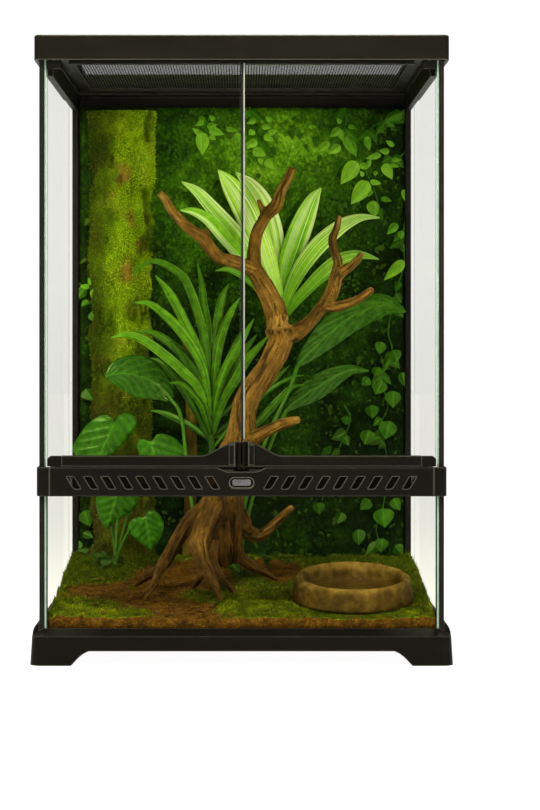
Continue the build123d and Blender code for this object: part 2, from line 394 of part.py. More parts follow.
HEART_STEMS = [
    [(-107.5, 92, 170.1), (-116.5, 92, 131.2), (-109.5, 88, 89.3), (-105.9, 84, 59.3)],
    [(-76.6, 80, 156.2), (-85.6, 82, 123.3), (-99.1, 82, 81.3), (-104.0, 80, 58.8)],
    [(-102.1, 76, 118.7), (-103.9, 78, 90.0), (-105.6, 78, 59.8)],
    [(-79.9, 66, 93.4), (-90.1, 70, 87.3), (-100.4, 74, 69.4), (-104.6, 76, 56.6)],
]
HEARTS = [
    (92, [(-126.6, 129.5), (-138.4, 141.4), (-142.6, 149.8), (-137.6, 159.9), (-129.1, 171.0), (-117.1, 178.0), (-109.7, 175.6), (-107.5, 171.6), (-103.8, 176.8), (-97.9, 179.4), (-91.3, 177.5), (-88.6, 171.0), (-93.5, 161.4), (-102.1, 151.5), (-113.9, 140.5)]),
    (80, [(-64.5, 118.4), (-78.8, 133.5), (-86.4, 147.0), (-87.6, 155.9), (-82.2, 157.9), (-75.8, 156.2), (-70.4, 162.3), (-59.7, 160.8), (-50.3, 153.3), (-44.7, 143.6), (-47.7, 133.5), (-56.1, 124.3)]),
    (76, [(-113.6, 82.5), (-119.3, 93.5), (-121.8, 104.4), (-120.6, 114.5), (-113.9, 121.2), (-106.3, 121.2), (-102.1, 117.8), (-96.3, 122.0), (-88.7, 118.7), (-85.8, 111.1), (-91.7, 98.2), (-101.8, 91.4)]),
    (66, [(-75.1, 64.8), (-85.8, 73.4), (-93.3, 80.9), (-94.5, 85.9), (-92.4, 90.5), (-85.1, 93.8), (-80.8, 93.2), (-77.9, 98.9), (-72.4, 98.6), (-67.8, 95.1), (-64.7, 86.6), (-67.8, 75.4)]),
]


def skin(rings):
    """Closed solid through rings of points, all with the same count."""
    n = len(rings[0])
    faces = []

    def tri(a, b, c):
        faces.append(Face(Wire.make_polygon([a, b, c], close=True)))

    for r0, r1 in zip(rings, rings[1:]):
        for i in range(n):
            j = (i + 1) % n
            tri(r0[i], r0[j], r1[j])
            tri(r0[i], r1[j], r1[i])
    for ring in (rings[0], rings[-1]):
        for i in range(1, n - 1):
            tri(ring[0], ring[i], ring[i + 1])
    solid = Solid(Shell(faces))
    return solid if solid.volume > 0 else Solid(solid.wrapped.Reversed())


def limb(points, n=8):
    rings = []
    side = Vector(0.3, -1, 0.1)
    for i, (x, y, z, r) in enumerate(points):
        a = Vector(*points[max(i - 1, 0)][:3])
        b = Vector(*points[min(i + 1, len(points) - 1)][:3])
        t = (b - a).normalized()
        side = (side - t * side.dot(t)).normalized()
        up = t.cross(side)
        rings.append([
            Vector(x, y, z) + side * (r * math.cos(2 * math.pi * k / n)) + up * (r * math.sin(2 * math.pi * k / n))
            for k in range(n)
        ])
    return skin(rings)


def blade(points, thick=1.0):
    """Flat leaf facing the front: a thin strip of changing width."""
    rings = []
    for i, (x, y, z, w) in enumerate(points):
        a = Vector(*points[max(i - 1, 0)][:3])
        b = Vector(*points[min(i + 1, len(points) - 1)][:3])
        t = (b - a).normalized()
        across = t.cross(Vector(0, -1, 0)).normalized()
        normal = t.cross(across).normalized()
        p = Vector(x, y, z)
        h = thick / 2
        rings.append([p + across * w, p + normal * h, p - across * w, p - normal * h])
    return skin(rings)


def stalk(points, r=1.4):
    return limb([(*p, r) for p in points], 6)


def fuse(shapes):
    whole = shapes[0]
    for s in shapes[1:]:
        whole = whole + s
    return whole


soil_block = prism_x([(-142.8, FLOOR_TOP + 0.1), (125.2, FLOOR_TOP + 0.1), (125.2, soil_z(125.2)), (-142.8, soil_z(-142.8))], -144.8, 144.8)
soil_block = soil_block + prism_x([(125.1, FLOOR_TOP + 0.1), (130.8, FLOOR_TOP + 0.1), (130.8, soil_z(130.8)), (125.1, soil_z(125.1))], -139.7, 139.7)
save(soil_block, "substrate")

above_soil = prism_x([(-142.8, soil_z(-142.8)), (142, soil_z(142)), (142, 470), (-142.8, 470)], -144.8, 144.8)
branch = fuse([limb(p) for p in LIMBS.values()]) & above_soil
save(branch, "driftwood_branch")

save(bx(-139.7, 139.7, PANEL_Y, 142.8, FLOOR_TOP + 0.1, 440.7), "background_panel")
for s, name in ((-1, "left"), (1, "right")):
    trim = bx(s * 139.9, s * 145.0, 125.4, 142.8, FLOOR_TOP + 0.1, LIP_SIDE_Z - 0.1)
    trim = chamfer(near(trim.edges().filter_by(Axis.Z), lambda c: c.Y < 126 and abs(c.X) < 141), 0.8)
    save(trim, f"rear_{name}_trim")

# mossy cork trunk: a half round against the panel
COLUMN = [(-102, 20, 26.5, 54.6), (-101, 17.5, 27.5, 110), (-102.5, 16.5, 25.5, 170), (-104.5, 17, 25, 240),
          (-103.5, 17.5, 26, 310), (-102, 18.5, 27.5, 375), (-101.5, 17, 27, 410), (-102.5, 16, 27.5, 440.2)]
rings = []
for x, d, w, z in COLUMN:
    ring = [Vector(x + w * math.cos(a), PANEL_Y - 0.1 - d * math.sin(a), z) for a in [math.pi * k / 10 for k in range(11)]]
    rings.append(ring)
save(skin(rings) & above_soil, "mossy_trunk")

# water dish: an oval rock basin, level with the sloping ground, and its water
DISH = (86.0, -67.0)
DISH_H = 18.0


def dish_lay(shape):
    tilt = Rot(SLOPE_DEG, 0, 0) * shape
    return Pos(DISH[0], DISH[1], soil_z(DISH[1]) + 0.25) * tilt


outer = loft([Ellipse(47.8, 59.5), Pos(0, 0, 9) * Ellipse(46.6, 58.6), Pos(0, 0, DISH_H) * Ellipse(44.2, 56.6)], ruled=True)
bowl = loft([Pos(0, 0, 5) * Ellipse(30, 42), Pos(0, 0, 7) * Ellipse(35.5, 48), Pos(0, 0, DISH_H + 0.01) * Ellipse(38.0, 50.6)], ruled=True)
basin = outer - bowl
basin = fillet(near(basin.edges(), lambda c: c.Z > DISH_H - 0.1), 2.0)
save(dish_lay(basin), "water_dish")
water = dish_lay(bowl) & bx(-200, 200, -200, 200, 0, 51.0)
save(water, "dish_water")

# plants
draca = fuse([stalk([(-24, 54, 50), (-25, 55, 120), (-25, 56, 160), (-25, 56, 176)], 4.6)] + [blade(p) for p in DRACAENA])
save(draca & above_soil, "dracaena_plant")
socket_ = limb([(35.5, 130.9, 262.0, 6.5), (35.5, 122, 262.0, 6.5), (35.5, 117, 264.0, 4.5)], 8)
save(fuse([socket_] + [blade(p) for p in STRIPED]), "striped_plant")
broad = [blade(p, 1.2) for p in BROAD] + [stalk(p, 1.5) for p in BROAD_STEMS]
broad.append(limb([(-3, 44, 40, 9), (-4, 45, 62, 8), (-4, 46, 74, 4)], 8))
broad.append(stalk([(-22.9, 42, 61), (-12, 43, 56), (-4, 44, 54)], 2.4))
save(fuse(broad) & above_soil, "broad_leaf_plant")
hearts = [prism_y(outline, y, y + 1.2) for y, outline in HEARTS] + [stalk([(x, y + 0.6, z) for x, y, z in p], 1.4) for p in HEART_STEMS]
hearts.append(limb([(-105, 80, 40, 8), (-105, 80, 58, 7), (-105, 81, 66, 3)], 8))
heart_plant = fuse(hearts) & above_soil
save(heart_plant, "heart_leaf_plant")

# moss cushions on the soil
PATCHES = [
    [(-143, -128), (-110, -138), (-70, -136), (-38, -126), (-52, -112), (-84, -104), (-112, -92), (-143, -96)],
    [(-30, -128), (0, -139), (40, -138), (60, -131), (36, -118), (30, -96), (18, -70), (2, -60), (-10, -86), (-6, -110)],
    [(-143, -60), (-120, -40), (-112, 10), (-90, 50), (-60, 70), (-60, 100), (-130, 100), (-143, 60)],
    [(143, 0), (112, 10), (60, 20), (48, 50), (60, 95), (143, 95)],
    [(96, -138), (143, -138), (143, -40), (137.5, -62), (134, -96), (118, -128)],
]
patches = []
keep_off = dish_lay(extrude(Pos(0, 0, -3) * Ellipse(49.5, 61.5), amount=90))
for outline in PATCHES:
    wire = Wire.make_polygon([(x, y, 20) for x, y in outline], close=True)
    patch = extrude(Face(wire), amount=60, dir=(0, 0, 1))
    slab = prism_x([(-142.8, soil_z(-142.8) + 0.05), (125, soil_z(125) + 0.05), (125, soil_z(125) + 3.2), (-142.8, soil_z(-142.8) + 3.2)], -144.6, 144.6)
    patch = (patch & slab) - keep_off - branch - heart_plant
    patches += [s for s in patch.solids() if s.volume > 300]
save(patches, "moss_patches")
print("interior done")
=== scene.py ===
"""Looks of the planted glass enclosure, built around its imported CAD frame."""
import math

import bpy
import numpy as np
from mathutils import Matrix, Vector, geometry


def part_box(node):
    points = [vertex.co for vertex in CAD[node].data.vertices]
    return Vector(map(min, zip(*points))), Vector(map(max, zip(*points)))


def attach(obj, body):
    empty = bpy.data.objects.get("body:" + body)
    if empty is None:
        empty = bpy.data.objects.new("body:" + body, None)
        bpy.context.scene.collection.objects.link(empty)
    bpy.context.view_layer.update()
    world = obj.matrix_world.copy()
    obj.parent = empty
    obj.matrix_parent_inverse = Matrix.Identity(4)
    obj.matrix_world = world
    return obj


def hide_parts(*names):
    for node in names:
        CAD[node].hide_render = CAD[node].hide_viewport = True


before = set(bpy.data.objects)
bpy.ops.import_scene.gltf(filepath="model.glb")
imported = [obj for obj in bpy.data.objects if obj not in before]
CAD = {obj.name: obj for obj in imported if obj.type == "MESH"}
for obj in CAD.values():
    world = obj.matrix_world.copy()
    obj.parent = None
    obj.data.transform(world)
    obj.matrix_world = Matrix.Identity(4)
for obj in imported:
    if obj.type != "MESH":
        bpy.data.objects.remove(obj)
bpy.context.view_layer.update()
MM = 0.001
DENSITY = 1.0


# ================================================================ numbers
def rgb(r, g, b):
    def lin(c):
        c /= 255.0
        return c / 12.92 if c <= 0.04045 else ((c + 0.055) / 1.055) ** 2.4

    return (lin(r), lin(g), lin(b), 1.0)


def soil_z(y):
    """Height of the sloping ground at depth y, in mm."""
    return 33.0 + (y + 142.8) * math.tan(math.radians(4.5))


def _lattice(ix, iy, iz, seed):
    h = (ix * 374761393 + iy * 668265263 + iz * 2147483629 + seed * 1274126177) & 0xFFFFFFFF
    h = ((h ^ (h >> 13)) * 1274126177) & 0xFFFFFFFF
    h = ((h ^ (h >> 16)) * 2246822519) & 0xFFFFFFFF
    return (h ^ (h >> 15)).astype(np.float64) / 4294967295.0


def vnoise(p, seed=0):
    """Smooth value noise from 0 to 1 at points p (n, 3)."""
    p = np.asarray(p, float)
    i = np.floor(p).astype(np.int64)
    f = p - i
    u = f * f * f * (f * (f * 6 - 15) + 10)
    out = np.zeros(len(p))
    for dx in (0, 1):
        wx = u[:, 0] if dx else 1 - u[:, 0]
        for dy in (0, 1):
            wy = u[:, 1] if dy else 1 - u[:, 1]
            for dz in (0, 1):
                wz = u[:, 2] if dz else 1 - u[:, 2]
                out += wx * wy * wz * _lattice(i[:, 0] + dx, i[:, 1] + dy, i[:, 2] + dz, seed)
    return out


def fbm(p, octaves=4, seed=0, gain=0.5):
    """Fractal noise from about -1 to 1."""
    p = np.asarray(p, float)
    total, amp, norm = np.zeros(len(p)), 1.0, 0.0
    for o in range(octaves):
        total += amp * (vnoise(p * 2.0 ** o + 19.7 * o, seed + 31 * o) * 2 - 1)
        norm += amp
        amp *= gain
    return total / norm


def step(x, a, b):
    t = np.clip((x - a) / (b - a), 0, 1)
    return t * t * (3 - 2 * t)


def spline(points, n):
    """n points evenly spaced by length on a Catmull-Rom curve through points; further columns follow."""
    P = np.asarray(points, float)
    if len(P) < 3:
        t = np.linspace(0, 1, n)[:, None]
        return P[0] * (1 - t) + P[-1] * t
    ends = np.vstack([2 * P[0] - P[1], P, 2 * P[-1] - P[-2]])
    dense = []
    for k in range(1, len(ends) - 2):
        p0, p1, p2, p3 = ends[k - 1 : k + 3]
        t = np.linspace(0, 1, 24, endpoint=False)[:, None]
        dense.append(0.5 * (2 * p1 + (p2 - p0) * t + (2 * p0 - 5 * p1 + 4 * p2 - p3) * t ** 2 + (3 * p1 - p0 - 3 * p2 + p3) * t ** 3))
    dense = np.vstack(dense + [P[-1:]])
    s = np.r_[0, np.cumsum(np.linalg.norm(np.diff(dense[:, :3], axis=0), axis=1))]
    at = np.linspace(0, s[-1], n)
    return np.stack([np.interp(at, s, dense[:, c]) for c in range(dense.shape[1])], axis=1)


def unit(v):
    v = np.asarray(v, float)
    return v / np.maximum(np.linalg.norm(v, axis=-1, keepdims=True), 1e-12)


def tangents(P):
    d = np.gradient(P[:, :3], axis=0)
    return unit(d)


def carried_frames(P, start=(0.3, -1.0, 0.1)):
    """Tangent and two side directions carried along a curve without twist."""
    T = tangents(P)
    side = np.array(start, float)
    A = np.zeros_like(T)
    for i, t in enumerate(T):
        side = side - t * side.dot(t)
        side /= max(np.linalg.norm(side), 1e-9)
        A[i] = side
    return T, A, np.cross(T, A)


# ================================================================ meshes
def mesh_data(name, V, F, attrs=None, smooth=True):
    """Mesh from points in mm and a list of face arrays; attrs holds per-point values."""
    me = bpy.data.meshes.new(name)
    V = np.asarray(V, np.float32) * MM
    F = [np.asarray(f, np.int32) for f in (F if isinstance(F, (list, tuple)) else [F]) if len(f)]
    me.vertices.add(len(V))
    me.vertices.foreach_set("co", V.ravel())
    loops = np.concatenate([f.ravel() for f in F])
    counts = np.concatenate([np.full(len(f), f.shape[1], np.int32) for f in F])
    me.loops.add(len(loops))
    me.loops.foreach_set("vertex_index", loops)
    me.polygons.add(len(counts))
    me.polygons.foreach_set("loop_start", np.r_[0, np.cumsum(counts)[:-1]].astype(np.int32))
    me.update(calc_edges=True)
    me.validate()
    if smooth:
        me.polygons.foreach_set("use_smooth", np.ones(len(me.polygons), bool))
    for key, values in (attrs or {}).items():
        values = np.asarray(values, np.float32)
        if values.ndim == 1:
            me.attributes.new(key, "FLOAT", "POINT").data.foreach_set("value", values)
        else:
            me.attributes.new(key, "FLOAT_VECTOR", "POINT").data.foreach_set("vector", values.ravel())
    return me


def piece(name, V, F, material, body="tank", replaces=(), attrs=None, smooth=True):
    o = bpy.data.objects.new(name, mesh_data(name, V, F, attrs, smooth))
    bpy.context.scene.collection.objects.link(o)
    o.data.materials.append(material)
    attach(o, body)
    if replaces:
        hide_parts(*([replaces] if isinstance(replaces, str) else replaces))
    return o


class Heap:
    """Collects many small meshes with per-point values into one."""

    def __init__(self):
        self.V, self.F, self.A, self.n = [], {}, {}, 0

    def add(self, V, F, **attrs):
        V = np.asarray(V, float)
        for f in F if isinstance(F, (list, tuple)) else [F]:
            f = np.asarray(f, np.int64)
            if len(f):
                self.F.setdefault(f.shape[1], []).append(f + self.n)
        self.V.append(V)
        for k, v in attrs.items():
            v = np.asarray(v, float)
            if v.ndim == 0:
                v = np.full(len(V), float(v))
            self.A.setdefault(k, []).append(v)
        self.n += len(V)

    def done(self):
        return (
            np.concatenate(self.V),
            [np.concatenate(f) for f in self.F.values()],
            {k: np.concatenate(v) for k, v in self.A.items()},
        )


def grid_faces(rows, cols, closed=False, flip=False):
    """Quads of a grid of rows x cols points, joined round when closed."""
    r, c = np.meshgrid(np.arange(rows - 1), np.arange(cols if closed else cols - 1), indexing="ij")
    c2 = (c + 1) % cols
    q = np.stack([r * cols + c, r * cols + c2, (r + 1) * cols + c2, (r + 1) * cols + c], axis=-1).reshape(-1, 4)
    return q[:, ::-1] if flip else q


# ================================================================ materials
class Nodes:
    def __init__(self, name):
        self.mat = bpy.data.materials.new(name)
        self.mat.use_nodes = True
        self.tree = self.mat.node_tree
        self.tree.nodes.clear()
        self.out = self.tree.nodes.new("ShaderNodeOutputMaterial")

    def node(self, kind, inputs=None, **props):
        n = self.tree.nodes.new(kind)
        for k, v in props.items():
            setattr(n, k, v)
        for k, v in (inputs or {}).items():
            self.put(n.inputs[k], v)
        return n

    def put(self, socket, value):
        if isinstance(value, bpy.types.NodeSocket):
            self.tree.links.new(value, socket)
        elif value is not None:
            socket.default_value = value

    def pos(self, scale=None):
        v = self.node("ShaderNodeTexCoord").outputs["Object"]
        return v if scale is None else self.times(v, scale)

    def times(self, vec, scale):
        return self.node("ShaderNodeVectorMath", {0: vec, 1: scale}, operation="MULTIPLY").outputs[0]

    def attr(self, name, vector=False):
        return self.node("ShaderNodeAttribute", attribute_name=name).outputs["Vector" if vector else "Fac"]

    def math(self, op, a, b=0.0, clamp=False):
        return self.node("ShaderNodeMath", {0: a, 1: b}, operation=op, use_clamp=clamp).outputs[0]

    def noise(self, vec, scale, detail=3.0, rough=0.55, warp=0.0):
        n = self.node("ShaderNodeTexNoise", {"Vector": vec, "Scale": scale, "Detail": detail, "Roughness": rough, "Distortion": warp})
        return n.outputs["Fac"]

    def cells(self, vec, scale, out="Distance", feature="F1", random=1.0):
        n = self.node("ShaderNodeTexVoronoi", {"Vector": vec, "Scale": scale, "Randomness": random}, feature=feature)
        return n.outputs[out]

    def wave(self, vec, scale, warp=0.0, direction="X"):
        n = self.node("ShaderNodeTexWave", {"Vector": vec, "Scale": scale, "Distortion": warp, "Detail": 2.0}, wave_type="BANDS", bands_direction=direction)
        return n.outputs["Fac"]

    def span(self, v, a, b, c=0.0, d=1.0):
        return self.node("ShaderNodeMapRange", {"Value": v, "From Min": a, "From Max": b, "To Min": c, "To Max": d}, clamp=True).outputs["Result"]

    def ramp(self, fac, stops, interpolation="LINEAR"):
        n = self.node("ShaderNodeValToRGB", {"Fac": fac})
        r = n.color_ramp
        r.interpolation = interpolation
        while len(r.elements) < len(stops):
            r.elements.new(0.5)
        for e, (at, colour) in zip(r.elements, stops):
            e.position = at
            e.color = colour
        return n.outputs["Color"]

    def mix(self, fac, a, b, mode="MIX"):
        n = self.node("ShaderNodeMix", data_type="RGBA", blend_type=mode, clamp_factor=True)
        self.put(n.inputs[0], fac)
        self.put(n.inputs[6], a)
        self.put(n.inputs[7], b)
        return n.outputs[2]

    def grey(self, value):
        return self.node("ShaderNodeCombineColor", {0: value, 1: value, 2: value}).outputs[0]

    def normal_axis(self, axis):
        n = self.node("ShaderNodeSeparateXYZ", {0: self.node("ShaderNodeTexCoord").outputs["Normal"]})
        return self.math("ABSOLUTE", n.outputs[axis])

    def axis(self, vec, axis):
        return self.node("ShaderNodeSeparateXYZ", {0: vec}).outputs[axis]

    def bump(self, height, distance, strength=1.0, normal=None):
        n = self.node("ShaderNodeBump", {"Height": height, "Distance": distance, "Strength": strength})
        if normal is not None:
            self.put(n.inputs["Normal"], normal)
        return n.outputs["Normal"]

    def principled(self, **inputs):
        n = self.node("ShaderNodeBsdfPrincipled", {k.replace("_", " "): v for k, v in inputs.items()})
        return n.outputs[0]

    def surface(self, shader):
        self.tree.links.new(shader, self.out.inputs["Surface"])
        return self.mat


def plastic(name, colour, rough=0.42, grain=1500.0, fine=0.00005, lift=1.5, gloss=0.06, rim=0.0):
    """Moulded black plastic: fine spark-eroded grain, faint flow marks, dust, and with rim a painted highlight along
    convex edges.
    """
    m = Nodes(name)
    p = m.pos()
    flow = m.noise(m.times(p, (1.0, 1.0, 3.0)), 14.0, 3.0)
    dust = m.noise(p, 95.0, 5.0, 0.7)
    pits = m.noise(p, grain, 2.0, 0.6)
    bright = tuple(min(1.0, c * lift) for c in colour[:3]) + (1.0,)
    base = m.mix(m.span(flow, 0.35, 0.7), colour, bright)
    base = m.mix(m.span(dust, 0.56, 0.78, 0.0, 0.35), base, tuple(min(1.0, c * lift * 1.7) for c in colour[:3]) + (1.0,))
    roughness = m.math("ADD", m.span(dust, 0.3, 0.75, rough - 0.06, rough + 0.1), m.span(pits, 0.3, 0.7, -0.03, 0.03))
    # rim paints a highlight: a lighter colour along convex edges, found by inward ambient occlusion and broken up by
    # the dust pattern
    if rim:
        near = m.node("ShaderNodeAmbientOcclusion", {"Distance": 0.0009}, samples=4, inside=True, only_local=True)
        painted_edge_highlight = m.math("MULTIPLY", m.span(near.outputs["AO"], 0.5, 0.93, rim, 0.0), m.span(dust, 0.25, 0.6, 0.75, 1.0))
        base = m.mix(painted_edge_highlight, base, (0.130, 0.123, 0.092, 1.0))
    bump = m.bump(pits, fine, 0.55)
    bump = m.bump(m.noise(p, 220.0, 2.0), 0.00006, 0.4, bump)
    return m.surface(m.principled(Base_Color=base, Roughness=roughness, Normal=bump, Specular_IOR_Level=gloss, Specular_Tint=(1.0, 0.94, 0.82, 1.0)))


def glass(name, tint, edge, edge_axis, reflect=0.3, front_ends=False):
    """Float glass: clear faces with smears, green cut edges; with front_ends it lets a little less through low down and
    shows cut edges only on the front half.
    """
    m = Nodes(name)
    p = m.pos()
    smear = m.noise(m.times(p, (1.0, 1.0, 0.35)), 18.0, 4.0, 0.6)
    through = m.mix(m.span(smear, 0.45, 0.8), tint, tuple(c * 0.985 for c in tint[:3]) + (1.0,))
    if front_ends:
        # the pane lets a little less through towards its bottom
        lower_dimming = m.span(m.axis(p, "Z"), 0.06, 0.32, 0.940, 1.0)
        through = m.mix(1.0, through, m.grey(lower_dimming), "MULTIPLY")
    clear = m.node("ShaderNodeBsdfTransparent", {"Color": through}).outputs[0]
    gloss = m.node("ShaderNodeBsdfGlossy", {"Roughness": m.span(smear, 0.4, 0.8, 0.0, 0.03)}).outputs[0]
    fresnel = m.math("MULTIPLY", m.node("ShaderNodeFresnel", {"IOR": 1.45}).outputs[0], reflect)
    face = m.node("ShaderNodeMixShader", {0: fresnel, 1: clear, 2: gloss}).outputs[0]
    grind = m.noise(p, 900.0, 3.0)
    cut = m.principled(
        Base_Color=m.mix(m.noise(p, 160.0, 3.0), edge, tuple(c * 0.62 for c in edge[:3]) + (1.0,)),
        Roughness=m.span(grind, 0.3, 0.7, 0.18, 0.34), Normal=m.bump(grind, 0.00003, 0.5), Specular_IOR_Level=0.6,
    )
    mask = m.math("GREATER_THAN", m.normal_axis(edge_axis), 0.6)
    if front_ends:
        mask = m.math("MULTIPLY", mask, m.math("LESS_THAN", m.axis(p, "Y"), 0.0))
    return m.surface(m.node("ShaderNodeMixShader", {0: mask, 1: face, 2: cut}).outputs[0])


def steel(name, colour=(0.5, 0.5, 0.49, 1.0), rough=0.3):
    m = Nodes(name)
    p = m.pos()
    brushed = m.noise(m.times(p, (1.0, 1.0, 0.08)), 2600.0, 3.0)
    base = m.mix(m.span(m.noise(p, 300.0, 4.0), 0.4, 0.7), colour, tuple(c * 0.7 for c in colour[:3]) + (1.0,))
    return m.surface(m.principled(Base_Color=base, Metallic=1.0, Roughness=m.span(brushed, 0.3, 0.7, rough - 0.08, rough + 0.12), Normal=m.bump(brushed, 0.00002, 0.5)))


BLACK = (0.0036, 0.0033, 0.0021, 1.0)
M_FRAME = plastic("moulded_black", BLACK, rim=0.75)
M_TOP = plastic("top_black", (0.0058, 0.0050, 0.0032, 1.0), rim=0.6)
M_HINGE = plastic("hinge_black", (0.0034, 0.0031, 0.0022, 1.0), rough=0.5, grain=1700.0)
M_DOOR = plastic("door_black", (0.0034, 0.0031, 0.0020, 1.0), rough=0.38, grain=1700.0, rim=0.85)
M_LID = plastic("lid_black", (0.0086, 0.0076, 0.0054, 1.0), rough=0.46, grain=1300.0, rim=0.6)
M_POST = plastic("post_black", (0.0086, 0.0078, 0.0058, 1.0), rough=0.5, grain=1900.0)
M_SIDE_GLASS = glass("side_glass", (0.966, 0.964, 0.938, 1.0), rgb(158, 190, 168), "Y", 0.10, True)
M_FRONT_GLASS = glass("front_glass", (0.995, 0.998, 0.994, 1.0), rgb(150, 186, 162), "X", 0.02)
M_STRIP = plastic("edge_strip_clear", rgb(140, 144, 130), rough=0.22, grain=1600.0, lift=1.12, gloss=0.5)
M_CLEAR = glass("edge_lip_clear", (0.93, 0.96, 0.92, 1.0), rgb(170, 196, 170), "Z", 0.5)
M_SEAL = plastic("seal_black", (0.012, 0.012, 0.011, 1.0), rough=0.55)
M_SILICONE = plastic("silicone_seam", (0.02, 0.02, 0.018, 1.0), rough=0.3)
M_PIN = steel("steel_pin")
M_BADGE = steel("badge_metal", (0.17, 0.17, 0.165, 1.0), 0.42)
M_WIRE = Nodes("wire_coated")
coating = M_WIRE.noise(M_WIRE.pos(), 300.0, 4.0)
# painted light: the wires running along Y get a lit tone and those running along X a shaded one; both are the same
# coated wire
lengthwise = M_WIRE.mix(M_WIRE.span(coating, 0.35, 0.7), (0.082, 0.090, 0.034, 1.0), (0.116, 0.126, 0.056, 1.0))
shaded_crosswise = M_WIRE.mix(M_WIRE.span(coating, 0.35, 0.7), (0.003, 0.004, 0.001, 1.0), (0.006, 0.007, 0.002, 1.0))
M_WIRE = M_WIRE.surface(M_WIRE.principled(Base_Color=M_WIRE.mix(M_WIRE.attr("run"), shaded_crosswise, lengthwise), Roughness=M_WIRE.span(coating, 0.3, 0.7, 0.38, 0.5), Normal=M_WIRE.bump(coating, 0.00004, 0.5), Specular_IOR_Level=0.2))
M_MESH = plastic("vent_mesh_black", (0.0022, 0.0020, 0.0016, 1.0), rough=0.7, grain=2600.0, gloss=0.05)


def dress(node, material, bevel=0.35, segments=2):
    """Material on a carried CAD node, and a small rounding on its edges as moulded parts have."""
    o = CAD[node]
    o.data.materials.clear()
    o.data.materials.append(material)
    if bevel:
        w = o.modifiers.new("weld", "WELD")
        w.merge_threshold = 0.000002
        d = o.modifiers.new("planar", "DECIMATE")
        d.decimate_type = "DISSOLVE"
        d.angle_limit = math.radians(0.6)
        b = o.modifiers.new("round", "BEVEL")
        b.width = bevel * MM
        b.segments = segments
        b.limit_method = "ANGLE"
        b.angle_limit = math.radians(38)
        b.use_clamp_overlap = True
        b.harden_normals = False
        b.miter_outer = "MITER_ARC"
        n = o.modifiers.new("weigh", "WEIGHTED_NORMAL")
        n.keep_sharp = False
    return o


dress("base_frame", M_FRAME, 0.7, 3)
dress("top_frame", M_TOP, 0.35, 2)
dress("vent_strip", M_FRAME, 0)
for node in ("left_strip_cap", "right_strip_cap"):
    dress(node, M_FRAME, 0.4)
for node in ("left_door_rail", "right_door_rail"):
    dress(node, M_DOOR, 0.4)
for node in ("left_door_grip", "right_door_grip"):
    dress(node, M_DOOR, 0.25)
for node in ("left_hinge_knuckle", "right_hinge_knuckle", "left_door_catch", "right_door_catch", "left_top_pivot", "right_top_pivot", "door_strike"):
    dress(node, M_HINGE, 0.25)
dress("screen_frame", M_LID, 0)
for node in ("left_screen_latch", "right_screen_latch", "left_cable_gate", "right_cable_gate"):
    dress(node, M_LID, 0.35)
for node in ("front_left_post", "front_right_post", "rear_left_trim", "rear_right_trim"):
    dress(node, M_POST, 0.3)
for node in ("left_side_glass", "right_side_glass"):
    dress(node, M_SIDE_GLASS, 0)
dress("rear_glass", M_FRONT_GLASS, 0)
dress("floor_glass", M_FRONT_GLASS, 0)
dress("front_lower_glass", M_FRONT_GLASS, 0)
for node in ("left_door_glass", "right_door_glass"):
    dress(node, M_FRONT_GLASS, 0)
for node in ("left_edge_strip", "right_edge_strip"):
    dress(node, M_STRIP, 0)
for node in ("left_door_gasket", "right_door_gasket"):
    dress(node, M_SEAL, 0)
dress("front_silicone_seams", M_SILICONE, 0)
for node in ("lower_hinge_pins", "left_top_hinge_pin", "right_top_hinge_pin"):
    dress(node, M_PIN, 0)
dress("badge_plate", M_BADGE, 0.3)


# ================================================================ camera, light and floor
camera = bpy.data.objects.new("camera", bpy.data.cameras.new("camera"))
bpy.context.scene.collection.objects.link(camera)
camera.location = (0.0, -1.940, 0.2402)
camera.rotation_euler = (math.radians(90), 0, 0)
camera.data.sensor_fit = "VERTICAL"
camera.data.sensor_height = 36.0
camera.data.lens = 107.22
camera.data.shift_x = 0.0350
camera.data.shift_y = -0.0790
camera.data.clip_end = 100
bpy.context.scene.camera = camera


def softbox(name, at, towards, size, power, colour=(1, 1, 1), spread=180.0, glossy=True):
    d = bpy.data.lights.new(name, "AREA")
    d.shape = "RECTANGLE"
    d.size, d.size_y = size
    d.energy = power
    d.color = colour
    d.spread = math.radians(spread)
    o = bpy.data.objects.new(name, d)
    o.location = at
    o.rotation_euler = (Vector(towards) - Vector(at)).to_track_quat("-Z", "Y").to_euler()
    o.visible_camera = False
    o.visible_glossy = glossy
    bpy.context.scene.collection.objects.link(o)
    return o


softbox("key", (-0.9, -1.9, 2.3), (0.0, 0.0, 0.25), (1.2, 0.9), 92.0, (1.0, 0.975, 0.90))
softbox("fill", (1.7, -2.2, 1.3), (0.0, 0.0, 0.22), (1.2, 1.2), 22.0, (1.0, 0.98, 0.92))
softbox("top", (0.0, 0.0, 1.25), (0.0, 0.02, 0.3), (0.5, 0.28), 76.0, (1.0, 0.99, 0.80))

softbox("grid_spot", (0.42, -1.5, 0.43), (-0.06, 0.1, 0.36), (0.25, 0.25), 0.25, (1.0, 1.0, 0.84), spread=22.0, glossy=False)

world = bpy.data.worlds.new("studio")
bpy.context.scene.world = world
world.use_nodes = True
wt = world.node_tree
wt.nodes.clear()
w_out = wt.nodes.new("ShaderNodeOutputWorld")
w_mix = wt.nodes.new("ShaderNodeMixShader")
w_seen = wt.nodes.new("ShaderNodeBackground")
w_light = wt.nodes.new("ShaderNodeBackground")
w_path = wt.nodes.new("ShaderNodeLightPath")
w_seen.inputs["Color"].default_value = (1, 1, 1, 1)
w_seen.inputs["Strength"].default_value = 1.02
w_light.inputs["Color"].default_value = (1.0, 0.97, 0.88, 1)
w_light.inputs["Strength"].default_value = 0.34
wt.links.new(w_path.outputs["Is Camera Ray"], w_mix.inputs[0])
wt.links.new(w_light.outputs[0], w_mix.inputs[1])
wt.links.new(w_seen.outputs[0], w_mix.inputs[2])
wt.links.new(w_mix.outputs[0], w_out.inputs["Surface"])
bpy.context.scene.view_settings.view_transform = "Standard"
bpy.context.scene.view_settings.look = "None"

